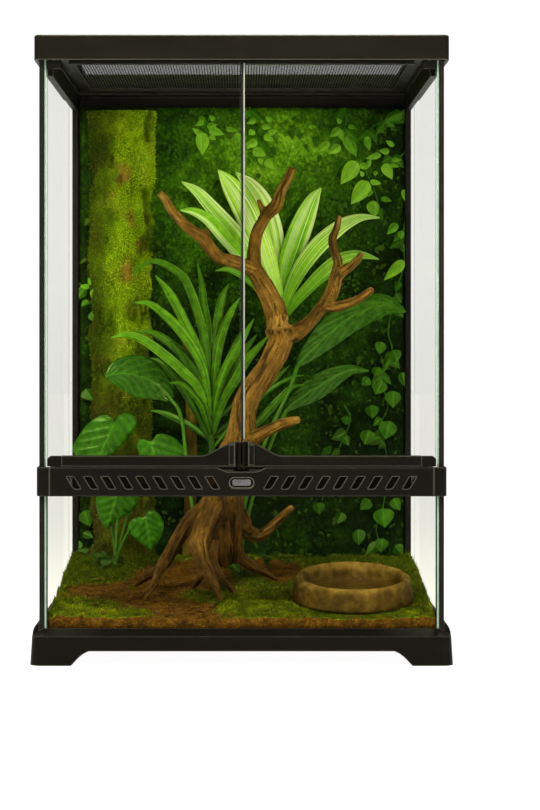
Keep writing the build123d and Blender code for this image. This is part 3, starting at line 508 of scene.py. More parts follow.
m = Nodes("studio_floor")
grain = m.noise(m.pos(), 40.0, 4.0)
matt = m.principled(Base_Color=m.mix(grain, (0.12, 0.12, 0.118, 1), (0.135, 0.135, 0.132, 1)), Roughness=m.span(grain, 0.3, 0.7, 0.85, 0.95), Specular_IOR_Level=0.1, Normal=m.bump(grain, 0.0002, 0.2))
place = m.node("ShaderNodeSeparateXYZ", {0: m.pos()})
away = m.math("SQRT", m.math("ADD", m.math("POWER", place.outputs[0], 2.0), m.math("POWER", place.outputs[1], 2.0)))
glow = m.node("ShaderNodeEmission", {"Color": (1, 1, 1, 1), "Strength": m.math("ADD", m.span(away, 0.22, 0.50, 0.97, 0.86), m.span(away, 1.0, 2.2, 0.0, 0.125))}).outputs[0]
M_FLOOR = m.surface(m.node("ShaderNodeAddShader", {0: matt, 1: glow}).outputs[0])
floor_pts = np.stack(np.meshgrid(np.linspace(-6000, 6000, 13), np.linspace(-4000, 9000, 14), indexing="xy"), -1).reshape(-1, 2)
floor_obj = bpy.data.objects.new("studio_floor", mesh_data("studio_floor", np.c_[floor_pts, np.full(len(floor_pts), -0.15)], grid_faces(14, 13)))
bpy.context.scene.collection.objects.link(floor_obj)
floor_obj.data.materials.append(M_FLOOR)
# studio flag: keeps the top lamp off the plants, unseen by the camera
flag_pts = np.array([(-133.0, -130.0, 459.0), (133.0, -130.0, 459.0), (-133.0, 107.0, 459.0), (133.0, 107.0, 459.0)])
flag = bpy.data.objects.new("studio_flag", mesh_data("studio_flag", flag_pts, np.array([(0, 1, 3, 2)])))
bpy.context.scene.collection.objects.link(flag)
flag.data.materials.append(M_LID)
flag.visible_camera = False


# ================================================================ shared growing forms
R = np.random.default_rng(20417)


def on_panel(px, py, y=126.0):
    """Point in mm at depth y that the camera sees at picture position px, py."""
    k = 0.7442 * (1790.0 + y + 150.0) / 1790.0
    return np.array([(px - 241.85) * k, y, 240.2 + (341.0 - py) * k])


def slab(grid, thick, **attrs):
    """Thin closed sheet round a grid of points (rows, cols, 3); attrs are (rows, cols)."""
    rows, cols = grid.shape[:2]
    n = unit(np.cross(np.gradient(grid, axis=0), np.gradient(grid, axis=1)))
    V = np.concatenate([(grid + n * thick / 2).reshape(-1, 3), (grid - n * thick / 2).reshape(-1, 3)])
    f = grid_faces(rows, cols)
    k = rows * cols
    ring = np.concatenate([np.arange(cols), np.arange(1, rows) * cols + cols - 1, (rows - 1) * cols + np.arange(cols - 2, -1, -1), np.arange(rows - 2, 0, -1) * cols])
    nxt = np.roll(ring, -1)
    rim = np.stack([ring, ring + k, nxt + k, nxt], axis=1)
    return V, [np.concatenate([f, f[:, ::-1] + k, rim])], {a: np.concatenate([v.ravel(), v.ravel()]) for a, v in attrs.items()}


def blade(heap, points, n_len=44, n_wid=9, keel=0.35, thick=0.4, ripple=0.0, twist=0.0, widen=1.0, quilt=0, tint=None, face=(0.0, -1.0, 0.0), curl=0.0):
    """Long leaf along points (x, y, z, half width): keeled, faintly rippled, turned to the front."""
    P = spline(points, n_len)
    t = tangents(P)
    u = np.linspace(0, 1, n_len)
    s = np.linspace(-1, 1, n_wid)
    across = unit(np.cross(t, np.array(face)))
    normal = unit(np.cross(across, t))
    normal *= np.sign((normal @ np.array(face)))[:, None] + (np.abs(normal @ np.array(face)) < 1e-9)[:, None]
    a = np.radians(twist) * np.sin(u * 2.6)
    across, normal = across * np.cos(a)[:, None] + normal * np.sin(a)[:, None], normal * np.cos(a)[:, None] - across * np.sin(a)[:, None]
    w = np.maximum(P[:, 3] * widen, 0.12)
    seed = R.uniform(0, 100)
    wave = ripple * np.sin(u[:, None] * 19 + seed + np.sign(s)[None, :] * 1.3) * (np.abs(s)[None, :] ** 2)
    lift = -(keel * np.abs(s)[None, :] * w[:, None]) + wave + curl * w[:, None] * (s[None, :] ** 2)
    vein = np.zeros((n_len, n_wid))
    if quilt:
        q = u[:, None] * quilt - np.abs(s)[None, :] ** 0.85 * 2.6 + 0.5 * (s[None, :] > 0)
        hill = np.abs(np.sin(np.pi * q)) ** 0.55
        lift = lift + (hill - 0.5) * 0.85 * np.minimum(w, 9)[:, None] / 9 * (1 - np.abs(s)[None, :] ** 4)
        vein = 1 - hill
    rib = np.exp(-((s[None, :] * w[:, None]) / 0.8) ** 2)
    lift = lift - rib * 0.5
    grid = P[:, None, :3] + across[:, None, :] * (s[None, :, None] * w[:, None, None]) + normal[:, None, :] * lift[:, :, None]
    tint = R.uniform(0.35, 0.75) if tint is None else tint
    # the tint falls towards the leaf base: painted shade where the leaves crowd at the stem
    V, F, A = slab(grid, thick, across=np.repeat(s[None, :], n_len, 0), along=np.repeat(u[:, None], n_wid, 1), vein=np.maximum(vein, rib * 0.0), rib=rib, tint=np.repeat(np.clip(tint + 0.10 - 0.30 * u ** 1.5, 0, 1)[:, None], n_wid, 1), leaf=np.full((n_len, n_wid), R.uniform(0, 50)))
    heap.add(V, F, **A)


def tube(heap, points, radius, sides=8, n=30, taper=1.0, rough=0.0, tint=0.5):
    P = spline(np.asarray(points, float), n)
    T, A, B = carried_frames(P)
    u = np.linspace(0, 1, n)
    r = (P[:, 3] if P.shape[1] > 3 else np.full(n, radius)) * (1 + (taper - 1) * u)
    k = np.arange(sides) * 2 * math.pi / sides
    seed = R.uniform(0, 99)
    rr = r[:, None] * (1 + rough * np.sin(u[:, None] * 31 + k[None, :] * 2 + seed))
    V = P[:, None, :3] + A[:, None, :] * (np.cos(k)[None, :, None] * rr[:, :, None]) + B[:, None, :] * (np.sin(k)[None, :, None] * rr[:, :, None])
    F = grid_faces(n, sides, closed=True)
    V = np.concatenate([V.reshape(-1, 3), P[:1, :3], P[-1:, :3]])
    i = np.arange(sides)
    caps = np.concatenate([np.stack([(i + 1) % sides, i, np.full(sides, n * sides)], 1), np.stack([(n - 1) * sides + i, (n - 1) * sides + (i + 1) % sides, np.full(sides, n * sides + 1)], 1)])
    al = np.r_[np.repeat(u, sides), 0, 1]
    heap.add(V, [F, caps], across=0.0, along=al, vein=0.0, rib=0.0, tint=tint, leaf=seed)


def leaves(heap, base, direction, normal, length, half, tint, n_len=7, n_wid=5, fold=0.25, droop=0.12, round_=0.45):
    """Many ovate leaves at once; every argument holds one row per leaf."""
    base, d = np.asarray(base, float), unit(direction)
    n = unit(np.asarray(normal, float) - d * np.sum(d * normal, axis=1, keepdims=True))
    a = np.cross(d, n)
    N = len(base)
    t = np.linspace(0, 1, n_len)
    s = np.linspace(-1, 1, n_wid)
    shape = (t ** round_) * ((1 - t) ** 1.05)
    shape = shape / shape.max()
    shape[0], shape[-1] = 0.03, 0.01
    L, H = np.asarray(length, float)[:, None, None], np.asarray(half, float)[:, None, None]
    S = s[None, None, :] * shape[None, :, None] * H
    up = -fold * np.abs(S) * 1.0 - droop * L * (t[None, :, None] ** 2)
    q = t[None, :, None] * 5.0 - np.abs(s)[None, None, :] * 1.4
    hill = np.abs(np.sin(np.pi * q)) ** 0.6 + np.zeros((N, 1, 1))
    up = up + (hill - 0.5) * 0.05 * H * (1 - np.abs(s)[None, None, :] ** 4)
    V = base[:, None, None, :] + d[:, None, None, :] * (L * t[None, :, None])[..., None] + a[:, None, None, :] * S[..., None] + n[:, None, None, :] * up[..., None]
    k = n_len * n_wid
    f = grid_faces(n_len, n_wid)
    F = (f[None, :, :] + (np.arange(N) * k)[:, None, None]).reshape(-1, 4)
    one = np.ones((N, n_len, n_wid))
    rib = np.exp(-(S / (0.07 * H)) ** 2)
    heap.add(V.reshape(-1, 3), F, across=(one * s[None, None, :]).ravel(), along=(one * t[None, :, None]).ravel(), vein=((1 - hill) * one).ravel(), rib=(rib * one).ravel(), tint=(one * np.asarray(tint, float)[:, None, None]).ravel(), leaf=(one * R.uniform(0, 50, N)[:, None, None]).ravel())


def spikes(P, N, length, width, lean, tint):
    """One narrow blade of moss at each point: a single triangle, its tip leaning aside."""
    n = len(P)
    d = unit(N + R.normal(0, lean, (n, 3)))
    side = unit(np.cross(d, R.normal(0, 1, (n, 3))))
    L = (length * R.uniform(0.55, 1.25, n))[:, None]
    W = (width * R.uniform(0.7, 1.3, n))[:, None]
    bend = unit(R.normal(0, 1, (n, 3))) * L * 0.22
    V = np.stack([P - side * W / 2 - N * 0.3, P + side * W / 2 - N * 0.3, P + d * L + bend], axis=1).reshape(-1, 3)
    F = np.arange(3 * n).reshape(-1, 3)
    return V, F, {"tip": np.tile([0.0, 0.0, 1.0], n), "tint": np.repeat(tint, 3)}


# ================================================================ living materials
def leaf_material(name, deep, mid, pale, rib, lines=26.0, line_depth=0.35, rough=0.36, stripes=None, vein_pale=0.5, coat=0.25, tipcolour=None):
    m = Nodes(name)
    p = m.pos()
    across, along, tint, leaf = (m.attr(k) for k in ("across", "along", "tint", "leaf"))
    mottle = m.noise(p, 170.0, 4.0, 0.6)
    field = m.node("ShaderNodeCombineXYZ", {0: across, 1: along, 2: leaf}).outputs[0]
    fibre = m.noise(m.times(field, (lines * 0.5, 1.4, 1.0)), 1.0, 3.0, 0.6)
    value = m.math("ADD", m.math("MULTIPLY", tint, 0.72), m.math("ADD", m.span(mottle, 0.3, 0.7, -0.10, 0.16), m.span(fibre, 0.3, 0.7, -line_depth * 0.3, line_depth * 0.35)))
    base = m.ramp(value, [(0.0, deep), (0.42, mid), (1.0, pale)])
    if stripes:
        cream, at, width = stripes
        band = m.noise(m.times(field, (5.2, 0.55, 1.0)), 1.0, 2.0, 0.5)
        fine = m.noise(m.times(field, (17.0, 0.6, 1.0)), 1.0, 1.0, 0.5)
        shown = m.math("ADD", m.math("MULTIPLY", band, 0.56), m.math("MULTIPLY", fine, 0.44))
        lit = m.span(m.math("ADD", shown, m.span(tint, 0.4, 1.0, -0.06, 0.06)), at - width, at + width)
        fade = m.span(along, 0.38, 0.92, 1.0, 0.12)
        base = m.mix(m.math("MULTIPLY", lit, m.math("MULTIPLY", fade, m.span(tint, 0.2, 0.9, 0.35, 1.0))), base, cream)
    base = m.mix(m.math("MULTIPLY", m.attr("rib"), 0.42), base, rib)
    base = m.mix(m.math("MULTIPLY", m.attr("vein"), vein_pale), base, rib)
    if tipcolour:
        base = m.mix(m.span(along, 0.0, 0.09, 0.7, 0.0), base, tipcolour)
    spots = m.span(m.cells(p, 420.0), 0.0, 0.16, 0.22, 0.0)
    base = m.mix(spots, base, deep)
    height = m.math("ADD", m.math("MULTIPLY", fibre, 0.7), m.math("MULTIPLY", m.noise(p, 900.0, 2.0), 0.3))
    normal = m.bump(height, 0.00022, 0.55)
    sh = m.principled(Base_Color=base, Roughness=m.math("ADD", m.span(mottle, 0.3, 0.7, rough - 0.05, rough + 0.10), 0.0), Normal=normal, Specular_IOR_Level=0.46, Specular_Tint=(0.66, 0.96, 0.20, 1.0), Coat_Weight=coat * 0.12, Coat_Roughness=0.26)
    glow = m.node("ShaderNodeBsdfTranslucent", {"Color": m.mix(0.35, base, mid), "Normal": normal}).outputs[0]
    return m.surface(m.node("ShaderNodeMixShader", {0: 0.22, 1: sh, 2: glow}).outputs[0])


def moss_material(name, root, low, high, gold):
    m = Nodes(name)
    p = m.pos()
    patch = m.noise(p, 38.0, 4.0, 0.6)
    fine = m.noise(p, 380.0, 3.0, 0.6)
    tone = m.math("ADD", m.math("MULTIPLY", m.attr("tint"), 0.7), m.span(patch, 0.3, 0.7, -0.05, 0.35))
    base = m.ramp(tone, [(0.0, root), (0.45, low), (0.85, high), (1.0, gold)])
    base = m.mix(m.span(m.attr("tip"), 0.0, 0.8, 0.30, 0.0), base, root)
    base = m.mix(m.span(fine, 0.45, 0.75, 0.0, 0.3), base, gold)
    solid = m.principled(Base_Color=base, Roughness=m.span(fine, 0.3, 0.7, 0.6, 0.85), Normal=m.bump(fine, 0.0002, 0.4), Specular_IOR_Level=0.04)
    through = m.node("ShaderNodeBsdfTranslucent", {"Color": base}).outputs[0]
    return m.surface(m.node("ShaderNodeMixShader", {0: 0.42, 1: solid, 2: through}).outputs[0])


def relief_material(name):
    m = Nodes(name)
    p = m.pos()
    shade, recess_shade = m.attr("shade"), m.attr("recess_shade")
    blot = m.noise(p, 60.0, 5.0, 0.62)
    specks = m.cells(m.times(p, (1.0, 1.0, 0.75)), 330.0)
    leafy = m.noise(p, 420.0, 4.0, 0.65, 0.6)
    value = m.math("ADD", m.math("ADD", shade, m.span(blot, 0.3, 0.72, -0.11, 0.12)), m.span(specks, 0.05, 0.7, 0.09, -0.09))
    value = m.math("ADD", value, m.span(leafy, 0.3, 0.7, -0.16, 0.16))
    # painted shade in the relief's hollows and painted light on its lumps
    value = m.math("ADD", value, m.span(recess_shade, 0.0, 1.0, -0.2, 0.1))
    base = m.ramp(value, [(0.0, rgb(12, 26, 2)), (0.25, rgb(28, 56, 3)), (0.5, rgb(56, 98, 6)), (0.78, rgb(104, 154, 22)), (1.0, rgb(166, 204, 60))])
    back = m.math("GREATER_THAN", m.axis(m.node("ShaderNodeTexCoord").outputs["Normal"], "Y"), 0.6)
    foam = m.mix(m.cells(p, 700.0), rgb(58, 58, 54), rgb(84, 84, 78))
    base = m.mix(back, base, foam)
    h = m.math("ADD", m.math("MULTIPLY", specks, 0.5), m.math("MULTIPLY", blot, 0.8))
    return m.surface(m.principled(Base_Color=base, Roughness=m.span(blot, 0.3, 0.7, 0.5, 0.75), Normal=m.bump(h, 0.0012, 0.6), Specular_IOR_Level=0.03))


def bark_material(name):
    m = Nodes(name)
    p = m.pos()
    moss, shade = m.attr("moss"), m.attr("shade")
    cracks = m.noise(m.times(p, (1.0, 1.0, 0.32)), 190.0, 5.0, 0.66, 0.6)
    bark = m.ramp(cracks, [(0.25, rgb(54, 38, 8)), (0.45, rgb(112, 80, 24)), (0.62, rgb(160, 118, 44)), (0.8, rgb(190, 148, 70))])
    fuzz = m.noise(p, 420.0, 5.0, 0.7)
    green = m.ramp(m.math("ADD", m.math("MULTIPLY", fuzz, 0.8), m.span(m.noise(p, 36.0, 3.0), 0.3, 0.7, -0.1, 0.25)), [(0.2, rgb(40, 54, 2)), (0.5, rgb(104, 136, 7)), (0.8, rgb(164, 196, 22))])
    base = m.mix(moss, bark, green)
    base = m.mix(m.span(shade, 0.0, 0.8, 0.78, 0.0), base, rgb(14, 20, 3))
    h = m.math("ADD", m.math("MULTIPLY", fuzz, 0.4), cracks)
    return m.surface(m.principled(Base_Color=base, Roughness=m.span(cracks, 0.3, 0.7, 0.65, 0.9), Normal=m.bump(h, 0.0011, 0.8), Specular_IOR_Level=0.04))


def soil_material(name):
    m = Nodes(name)
    p = m.pos()
    moss = m.attr("moss")
    clods = m.noise(p, 120.0, 6.0, 0.68)
    grit = m.cells(p, 520.0)
    value = m.math("ADD", clods, m.span(grit, 0.1, 0.6, 0.09, -0.10))
    earth = m.ramp(value, [(0.25, rgb(50, 31, 5)), (0.48, rgb(90, 60, 11)), (0.64, rgb(122, 86, 20)), (0.85, rgb(156, 116, 40))])
    green = m.ramp(m.noise(p, 300.0, 5.0, 0.7), [(0.25, rgb(28, 34, 2)), (0.55, rgb(80, 92, 6)), (0.8, rgb(136, 148, 18))])
    base = m.mix(m.span(moss, 0.25, 0.7), earth, green)
    return m.surface(m.principled(Base_Color=base, Roughness=m.span(clods, 0.3, 0.7, 0.72, 0.95), Normal=m.bump(value, 0.0016, 0.8), Specular_IOR_Level=0.03))


def wood_material(name):
    m = Nodes(name)
    p = m.pos()
    grain, crease_shade, tone = m.attr("grain", True), m.attr("crease_shade"), m.attr("tint")
    fibre = m.noise(m.times(grain, (1.0, 1.0, 0.11)), 1.15, 5.0, 0.66, 0.35)
    fine = m.noise(m.times(grain, (1.0, 1.0, 0.06)), 3.6, 3.0, 0.6)
    blot = m.noise(p, 46.0, 4.0, 0.6)
    value = m.math("ADD", m.math("MULTIPLY", fibre, 0.50), m.math("MULTIPLY", fine, 0.40))
    strand = m.noise(m.times(grain, (1.0, 1.0, 0.07)), 0.46, 3.0, 0.6, 0.3)
    value = m.math("ADD", value, m.span(strand, 0.36, 0.64, -0.05, 0.05))
    value = m.math("ADD", value, m.span(blot, 0.3, 0.7, -0.05, 0.14))
    value = m.math("ADD", value, m.span(tone, 0.0, 1.0, -0.12, 0.18))
    base = m.ramp(value, [(0.24, rgb(36, 22, 3)), (0.42, rgb(82, 56, 13)), (0.56, rgb(120, 86, 26)), (0.74, rgb(164, 124, 48)), (0.92, rgb(206, 168, 88))])
    # painted shade in the creases along the grain
    base = m.mix(m.span(crease_shade, 0.05, 0.8, 0.0, 0.9), base, rgb(34, 21, 3))
    h = m.math("ADD", m.math("MULTIPLY", strand, 1.6), m.math("ADD", m.math("MULTIPLY", fibre, 0.7), m.math("MULTIPLY", fine, 0.4)))
    return m.surface(m.principled(Base_Color=base, Roughness=m.span(fine, 0.3, 0.7, 0.5, 0.78), Normal=m.bump(h, 0.0012, 0.85), Specular_IOR_Level=0.14, Specular_Tint=(1.0, 0.78, 0.42, 1.0)))


def rock_material(name):
    m = Nodes(name)
    p = m.pos()
    big = m.noise(p, 55.0, 6.0, 0.65)
    runs = m.noise(m.times(p, (1.0, 1.0, 0.22)), 260.0, 4.0, 0.65)
    pits = m.noise(p, 900.0, 3.0, 0.6)
    value = m.math("ADD", m.math("MULTIPLY", big, 0.82), m.math("MULTIPLY", runs, 0.16))
    value = m.math("ADD", value, m.span(m.attr("tint"), 0.0, 1.0, -0.16, 0.16))
    base = m.ramp(value, [(0.25, rgb(36, 26, 4)), (0.42, rgb(70, 52, 11)), (0.58, rgb(100, 77, 21)), (0.8, rgb(150, 120, 46))])
    base = m.mix(m.span(m.noise(p, 30.0, 3.0), 0.52, 0.72, 0.0, 0.35), base, rgb(74, 72, 18))
    h = m.math("ADD", big, m.math("ADD", m.math("MULTIPLY", runs, 0.2), m.math("MULTIPLY", pits, 0.16)))
    return m.surface(m.principled(Base_Color=base, Roughness=m.span(pits, 0.3, 0.7, 0.55, 0.85), Normal=m.bump(h, 0.0012, 0.7), Specular_IOR_Level=0.1, Specular_Tint=(1.0, 0.85, 0.5, 1.0)))


def water_material(name):
    m = Nodes(name)
    p = m.pos()
    ripple = m.noise(p, 60.0, 2.0, 0.4)
    tint = m.mix(m.noise(p, 30.0, 3.0), (0.62, 0.52, 0.30, 1), (0.50, 0.42, 0.24, 1))
    normal = m.bump(ripple, 0.0030, 0.6)
    clear = m.node("ShaderNodeBsdfTransparent", {"Color": tint}).outputs[0]
    body = m.principled(Base_Color=m.mix(m.noise(p, 90.0, 4.0), rgb(112, 86, 24), rgb(142, 113, 42)), Roughness=m.span(ripple, 0.3, 0.7, 0.03, 0.08), Normal=normal, Specular_IOR_Level=0.6)
    return m.surface(m.node("ShaderNodeMixShader", {0: 0.55, 1: clear, 2: body}).outputs[0])


M_RELIEF = relief_material("background_relief")
M_TRUNK = bark_material("mossy_bark")
M_SOIL = soil_material("soil")
M_WOOD = wood_material("driftwood")
M_ROCK = rock_material("rock")
M_WATER = water_material("dish_water")
M_MOSS_TRUNK = moss_material("moss_trunk", rgb(30, 42, 1), rgb(112, 144, 6), rgb(204, 230, 20), rgb(228, 244, 56))
M_MOSS_SOIL = moss_material("moss_ground", rgb(24, 40, 2), rgb(70, 92, 4), rgb(158, 174, 12), rgb(208, 214, 44))
M_FOLIAGE = leaf_material("foliage", rgb(14, 34, 2), rgb(46, 86, 5), rgb(140, 192, 46), rgb(56, 100, 10), lines=8, rough=0.5, coat=0.0, vein_pale=0.25)
M_VINE = leaf_material("vine_leaf", rgb(14, 46, 2), rgb(60, 128, 7), rgb(160, 218, 50), rgb(92, 160, 26), lines=10, rough=0.42, coat=0.1, vein_pale=0.2)
M_DRAC = leaf_material("dracaena_leaf", rgb(8, 28, 1), rgb(27, 75, 1), rgb(130, 196, 22), rgb(90, 162, 16), lines=30, line_depth=1.15, rough=0.34, coat=0.35)
M_STRIPED = leaf_material("striped_leaf", rgb(26, 84, 2), rgb(104, 184, 5), rgb(198, 242, 44), rgb(126, 202, 20), lines=34, line_depth=1.0, rough=0.32, stripes=(rgb(240, 250, 172), 0.55, 0.05), coat=0.4)
M_BROAD = leaf_material("broad_leaf", rgb(8, 30, 1), rgb(34, 88, 2), rgb(112, 182, 26), rgb(96, 164, 34), lines=12, rough=0.28, coat=0.6, vein_pale=0.26)
M_HEART = leaf_material("heart_leaf", rgb(10, 36, 1), rgb(42, 106, 3), rgb(120, 196, 26), rgb(116, 190, 40), lines=6, rough=0.28, coat=0.6, vein_pale=0.2)
M_STEM = leaf_material("stem", rgb(30, 62, 8), rgb(70, 124, 22), rgb(130, 176, 60), rgb(120, 170, 60), lines=4, rough=0.45, coat=0.1)
M_LITTER = leaf_material("leaf_litter", rgb(34, 20, 6), rgb(96, 62, 22), rgb(158, 116, 56), rgb(70, 44, 16), lines=6, rough=0.7, coat=0.0)


# ================================================================ background panel
def painted_light_at(x, z):
    """Painted light on the moulded forest: how brightly each place on the panel is painted as lit, a pool of light high
    in the middle falling off to the sides and the bottom, from 0 to 1.
    """
    g = 0.62 * np.exp(-(((x - 34) / 72) ** 2 + ((z - 398) / 78) ** 2))
    g = g + 0.34 * np.exp(-(((x + 38) / 48) ** 2 + ((z - 345) / 75) ** 2))
    g = g + 0.20 * np.exp(-(((x - 62) / 50) ** 2 + ((z - 265) / 110) ** 2))
    g = g * (1 - 0.55 * step(np.abs(x), 96, 140)) * (0.30 + 0.70 * step(z, 90, 300))
    return np.clip(0.19 + 0.92 * g, 0, 1)


def edge_ring(rows, cols):
    return np.concatenate([np.arange(cols), np.arange(1, rows) * cols + cols - 1, (rows - 1) * cols + np.arange(cols - 2, -1, -1), np.arange(rows - 2, 0, -1) * cols])


def closed_relief(grid, drops):
    """Grid of points closed to a block: its border repeats at each drop, given as a function, and ends in a fan."""
    rows, cols = grid.shape[:2]
    ring = edge_ring(rows, cols)
    V = [grid.reshape(-1, 3)]
    F4, last, n = [grid_faces(rows, cols)], ring, rows * cols
    m = len(ring)
    border = grid.reshape(-1, 3)[ring]
    for drop in drops:
        V.append(drop(border.copy()))
        new = np.arange(n, n + m)
        F4.append(np.stack([last, new, np.roll(new, -1), np.roll(last, -1)], 1))
        last, n = new, n + m
    V.append(V[-1].mean(0, keepdims=True))
    fan = np.stack([last, np.full(m, n), np.roll(last, -1)], 1)
    return np.concatenate(V), [np.concatenate(F4), fan], n + 1


nx, nz = ((190, 285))
gx, gz = np.meshgrid(np.linspace(-139.6, 139.6, nx), np.linspace(22.2, 440.6, nz))
flat = np.c_[gx.ravel(), np.zeros(gx.size), gz.ravel()]
lumps = 0.5 * fbm(flat / 24, 3, 3) + 0.32 * fbm(flat / 9, 3, 5) + 0.18 * fbm(flat / 3.6, 2, 7)
inset = step(139.7 - np.abs(gx.ravel()), 0, 3) * step(gz.ravel() - 22.2, 0, 3) * step(440.7 - gz.ravel(), 0, 3)
depth = np.clip(1.9 + 3.4 * lumps, 0.0, 4.4) * inset
grid = np.stack([gx, (130.9 - depth).reshape(gx.shape), gz], -1)


def to_back(b):
    b[:, 1] = 142.6
    return b


V, F, n = closed_relief(grid, [to_back])
shade = np.clip(painted_light_at(V[:, 0], V[:, 2]) * 0.92 + 0.10 * fbm(V / 30, 3, 11) - 0.02, 0, 1)
# how far each point stands out, for the painted shade in hollows and light on lumps
recess_shade = np.r_[np.clip(0.5 + lumps * 1.1, 0, 1), np.zeros(n - len(lumps))]
panel = piece("background_relief", V, F, M_RELIEF, replaces="background_panel", attrs={"shade": shade, "recess_shade": recess_shade})
# the rear of the panel is a flat sheet
facing = np.empty(len(panel.data.polygons) * 3, np.float32)
panel.data.polygons.foreach_get("normal", facing)
panel.data.polygons.foreach_set("use_smooth", facing.reshape(-1, 3)[:, 1] < 0.9)


def scatter(n, lo, hi, y0, y1, size, painted_light_gain, seed_gap):
    """Random leaves lying against the panel, outside the mossy trunk, toned by the panel's painted light."""
    x = R.uniform(-139, 139, n)
    z = R.uniform(24, 438, n)
    keep = (vnoise(np.c_[x / 15, z / 15, np.zeros(n)], seed_gap) > 0.34) & (((x < -124) & (R.uniform(0, 1, n) < 0.4)) | (x > -84) | (R.uniform(0, 1, n) < 0.1)) & (R.uniform(0, 1, n) < 0.10 + 1.7 * (painted_light_at(x, z) - 0.15))
    x, z = x[keep], z[keep]
    n = len(x)
    turn = R.normal(-math.pi / 2, 0.95, n)
    d = np.c_[np.cos(turn), -R.uniform(0.0, 0.18, n), np.sin(turn)]
    nrm = np.c_[R.normal(0, 0.3, n), -np.ones(n), R.normal(-0.05, 0.28, n)]
    g = painted_light_at(x, z)
    L = R.uniform(*size, n)
    tint = np.clip(painted_light_gain * (g - 0.10) + 0.12 * fbm(np.c_[x, z, 0 * x] / 16, 3, seed_gap + 9) + R.normal(0.0, 0.05, n), lo, hi)
    return np.c_[x, R.uniform(y0, y1, n), z], d, nrm, L, L * R.uniform(0.26, 0.42, n), tint


small = Heap()
leaves(small, *scatter(int(9500 * DENSITY), 0.0, 0.8, 127.8, 129.8, (2.2, 4.8), 0.80, 71), n_len=4, n_wid=3)
leaves(small, *scatter(int(520 * DENSITY), 0.0, 0.9, 125.6, 127.8, (5.0, 9.5), 0.70, 72), n_len=6, n_wid=5)
V, F, A = small.done()
V[:, 1] = np.minimum(V[:, 1], 130.6)
V[:, 0] = np.clip(V[:, 0], -139.6, 139.6)
V[:, 2] = np.clip(V[:, 2], 22.3, 440.4)
piece("background_foliage", V, F, M_FOLIAGE, attrs=A)

# larger leaves in hanging sprays: base and tip in picture positions, half width in mm, lightness, which is partly
# painted light
SPRAYS = [
    (357, 162, 341, 184, 7.4, 0.72), (368, 182, 351, 204, 7.6, 0.76), (347, 136, 357, 156, 7.0, 0.42), (366, 137, 369, 151, 3.4, 0.38),
    (340, 146, 328, 154, 4.4, 0.66), (329, 142, 317, 152, 4.2, 0.66), (340, 129, 330, 137, 4.2, 0.60), (340, 130, 342, 141, 3.2, 0.55),
    (341, 124, 337, 119, 2.4, 0.45), (348, 126, 356, 129, 2.4, 0.42), (384, 164, 392, 179, 5.2, 0.80), (389, 152, 379, 151, 3.2, 0.50),
    (381, 155, 366, 159, 3.0, 0.50), (391, 160, 401, 160, 2.6, 0.52), (390, 165, 399, 167, 2.2, 0.52), (370, 182, 381, 184, 2.8, 0.78),
    (364, 176, 360, 172, 2.4, 0.55), (373, 174, 378, 173, 2.2, 0.55), (372, 201, 375, 217, 6.0, 0.50), (381, 198, 391, 201, 3.0, 0.34),
    (371, 190, 368, 197, 2.6, 0.40), (403, 190, 405, 202, 2.6, 0.42), (404, 261, 384, 280, 5.2, 0.62), (397, 224, 387, 234, 4.0, 0.36),
    (401, 231, 401, 239, 3.4, 0.34), (360, 164, 367, 169, 3.4, 0.60), (366, 168, 371, 160, 2.6, 0.45), (394, 146, 386, 141, 3.0, 0.40),
    (254, 131, 249, 135, 3.6, 0.70), (262, 126, 271, 128, 3.6, 0.66), (268, 134, 277, 131, 3.0, 0.66), (264, 136, 274, 141, 3.4, 0.72),
    (257, 141, 246, 147, 4.6, 0.74), (253, 150, 266, 156, 4.6, 0.78), (260, 158, 262, 165, 2.6, 0.74), (266, 160, 274, 169, 4.2, 0.66),
    (249, 142, 248, 150, 3.4, 0.72), (256, 120, 247, 124, 3.0, 0.60), (271, 122, 266, 117, 2.6, 0.52),
    (203, 133, 203, 155, 6.4, 0.72), (203, 136, 193, 129, 3.0, 0.58), (207, 127, 217, 125, 3.4, 0.56), (209, 130, 224, 135, 4.0, 0.58),
    (210, 136, 216, 140, 3.0, 0.66), (226, 129, 238, 131, 2.8, 0.50), (237, 133, 239, 143, 3.2, 0.60), (199, 118, 206, 121, 3.0, 0.40),
    (204, 122, 196, 126, 2.8, 0.46), (215, 121, 209, 116, 2.6, 0.40),
    (94, 289, 101, 303, 5.0, 0.70), (96, 289, 108, 291, 2.2, 0.62), (90, 287, 81, 286, 2.8, 0.60), (93, 285, 89, 278, 2.8, 0.55),
    (92, 312, 98, 322, 5.0, 0.20), (86, 389, 93, 398, 5.0, 0.30), (88, 300, 82, 306, 3.0, 0.34),
    (382, 342, 380, 352, 4.4, 0.46), (393, 350, 396, 360, 4.6, 0.44), (379, 367, 375, 374, 4.2, 0.44), (369, 378, 363, 384, 3.6, 0.40),
    (382, 381, 376, 392, 5.2, 0.44), (393, 391, 393, 405, 5.6, 0.40), (371, 405, 372, 416, 4.8, 0.38), (389, 421, 386, 436, 6.4, 0.40),
    (369, 430, 365, 442, 5.2, 0.36), (347, 416, 346, 423, 3.6, 0.30), (324, 448, 329, 452, 5.0, 0.16), (402, 372, 404, 384, 3.8, 0.34),
    (382, 508, 384, 524, 7.2, 0.50), (358, 529, 358, 542, 4.8, 0.34), (383, 538, 381, 550, 5.0, 0.34), (318, 502, 319, 512, 4.4, 0.36),
    (370, 500, 362, 508, 4.2, 0.36), (393, 498, 399, 508, 4.0, 0.34), (395, 545, 401, 553, 4.0, 0.28), (342, 512, 338, 521, 4.0, 0.26),
    (85, 510, 90, 523, 5.6, 0.42), (80, 540, 75, 549, 3.6, 0.36), (93, 544, 99, 550, 3.6, 0.36), (84, 532, 92, 536, 3.0, 0.34),
]
vine = Heap()
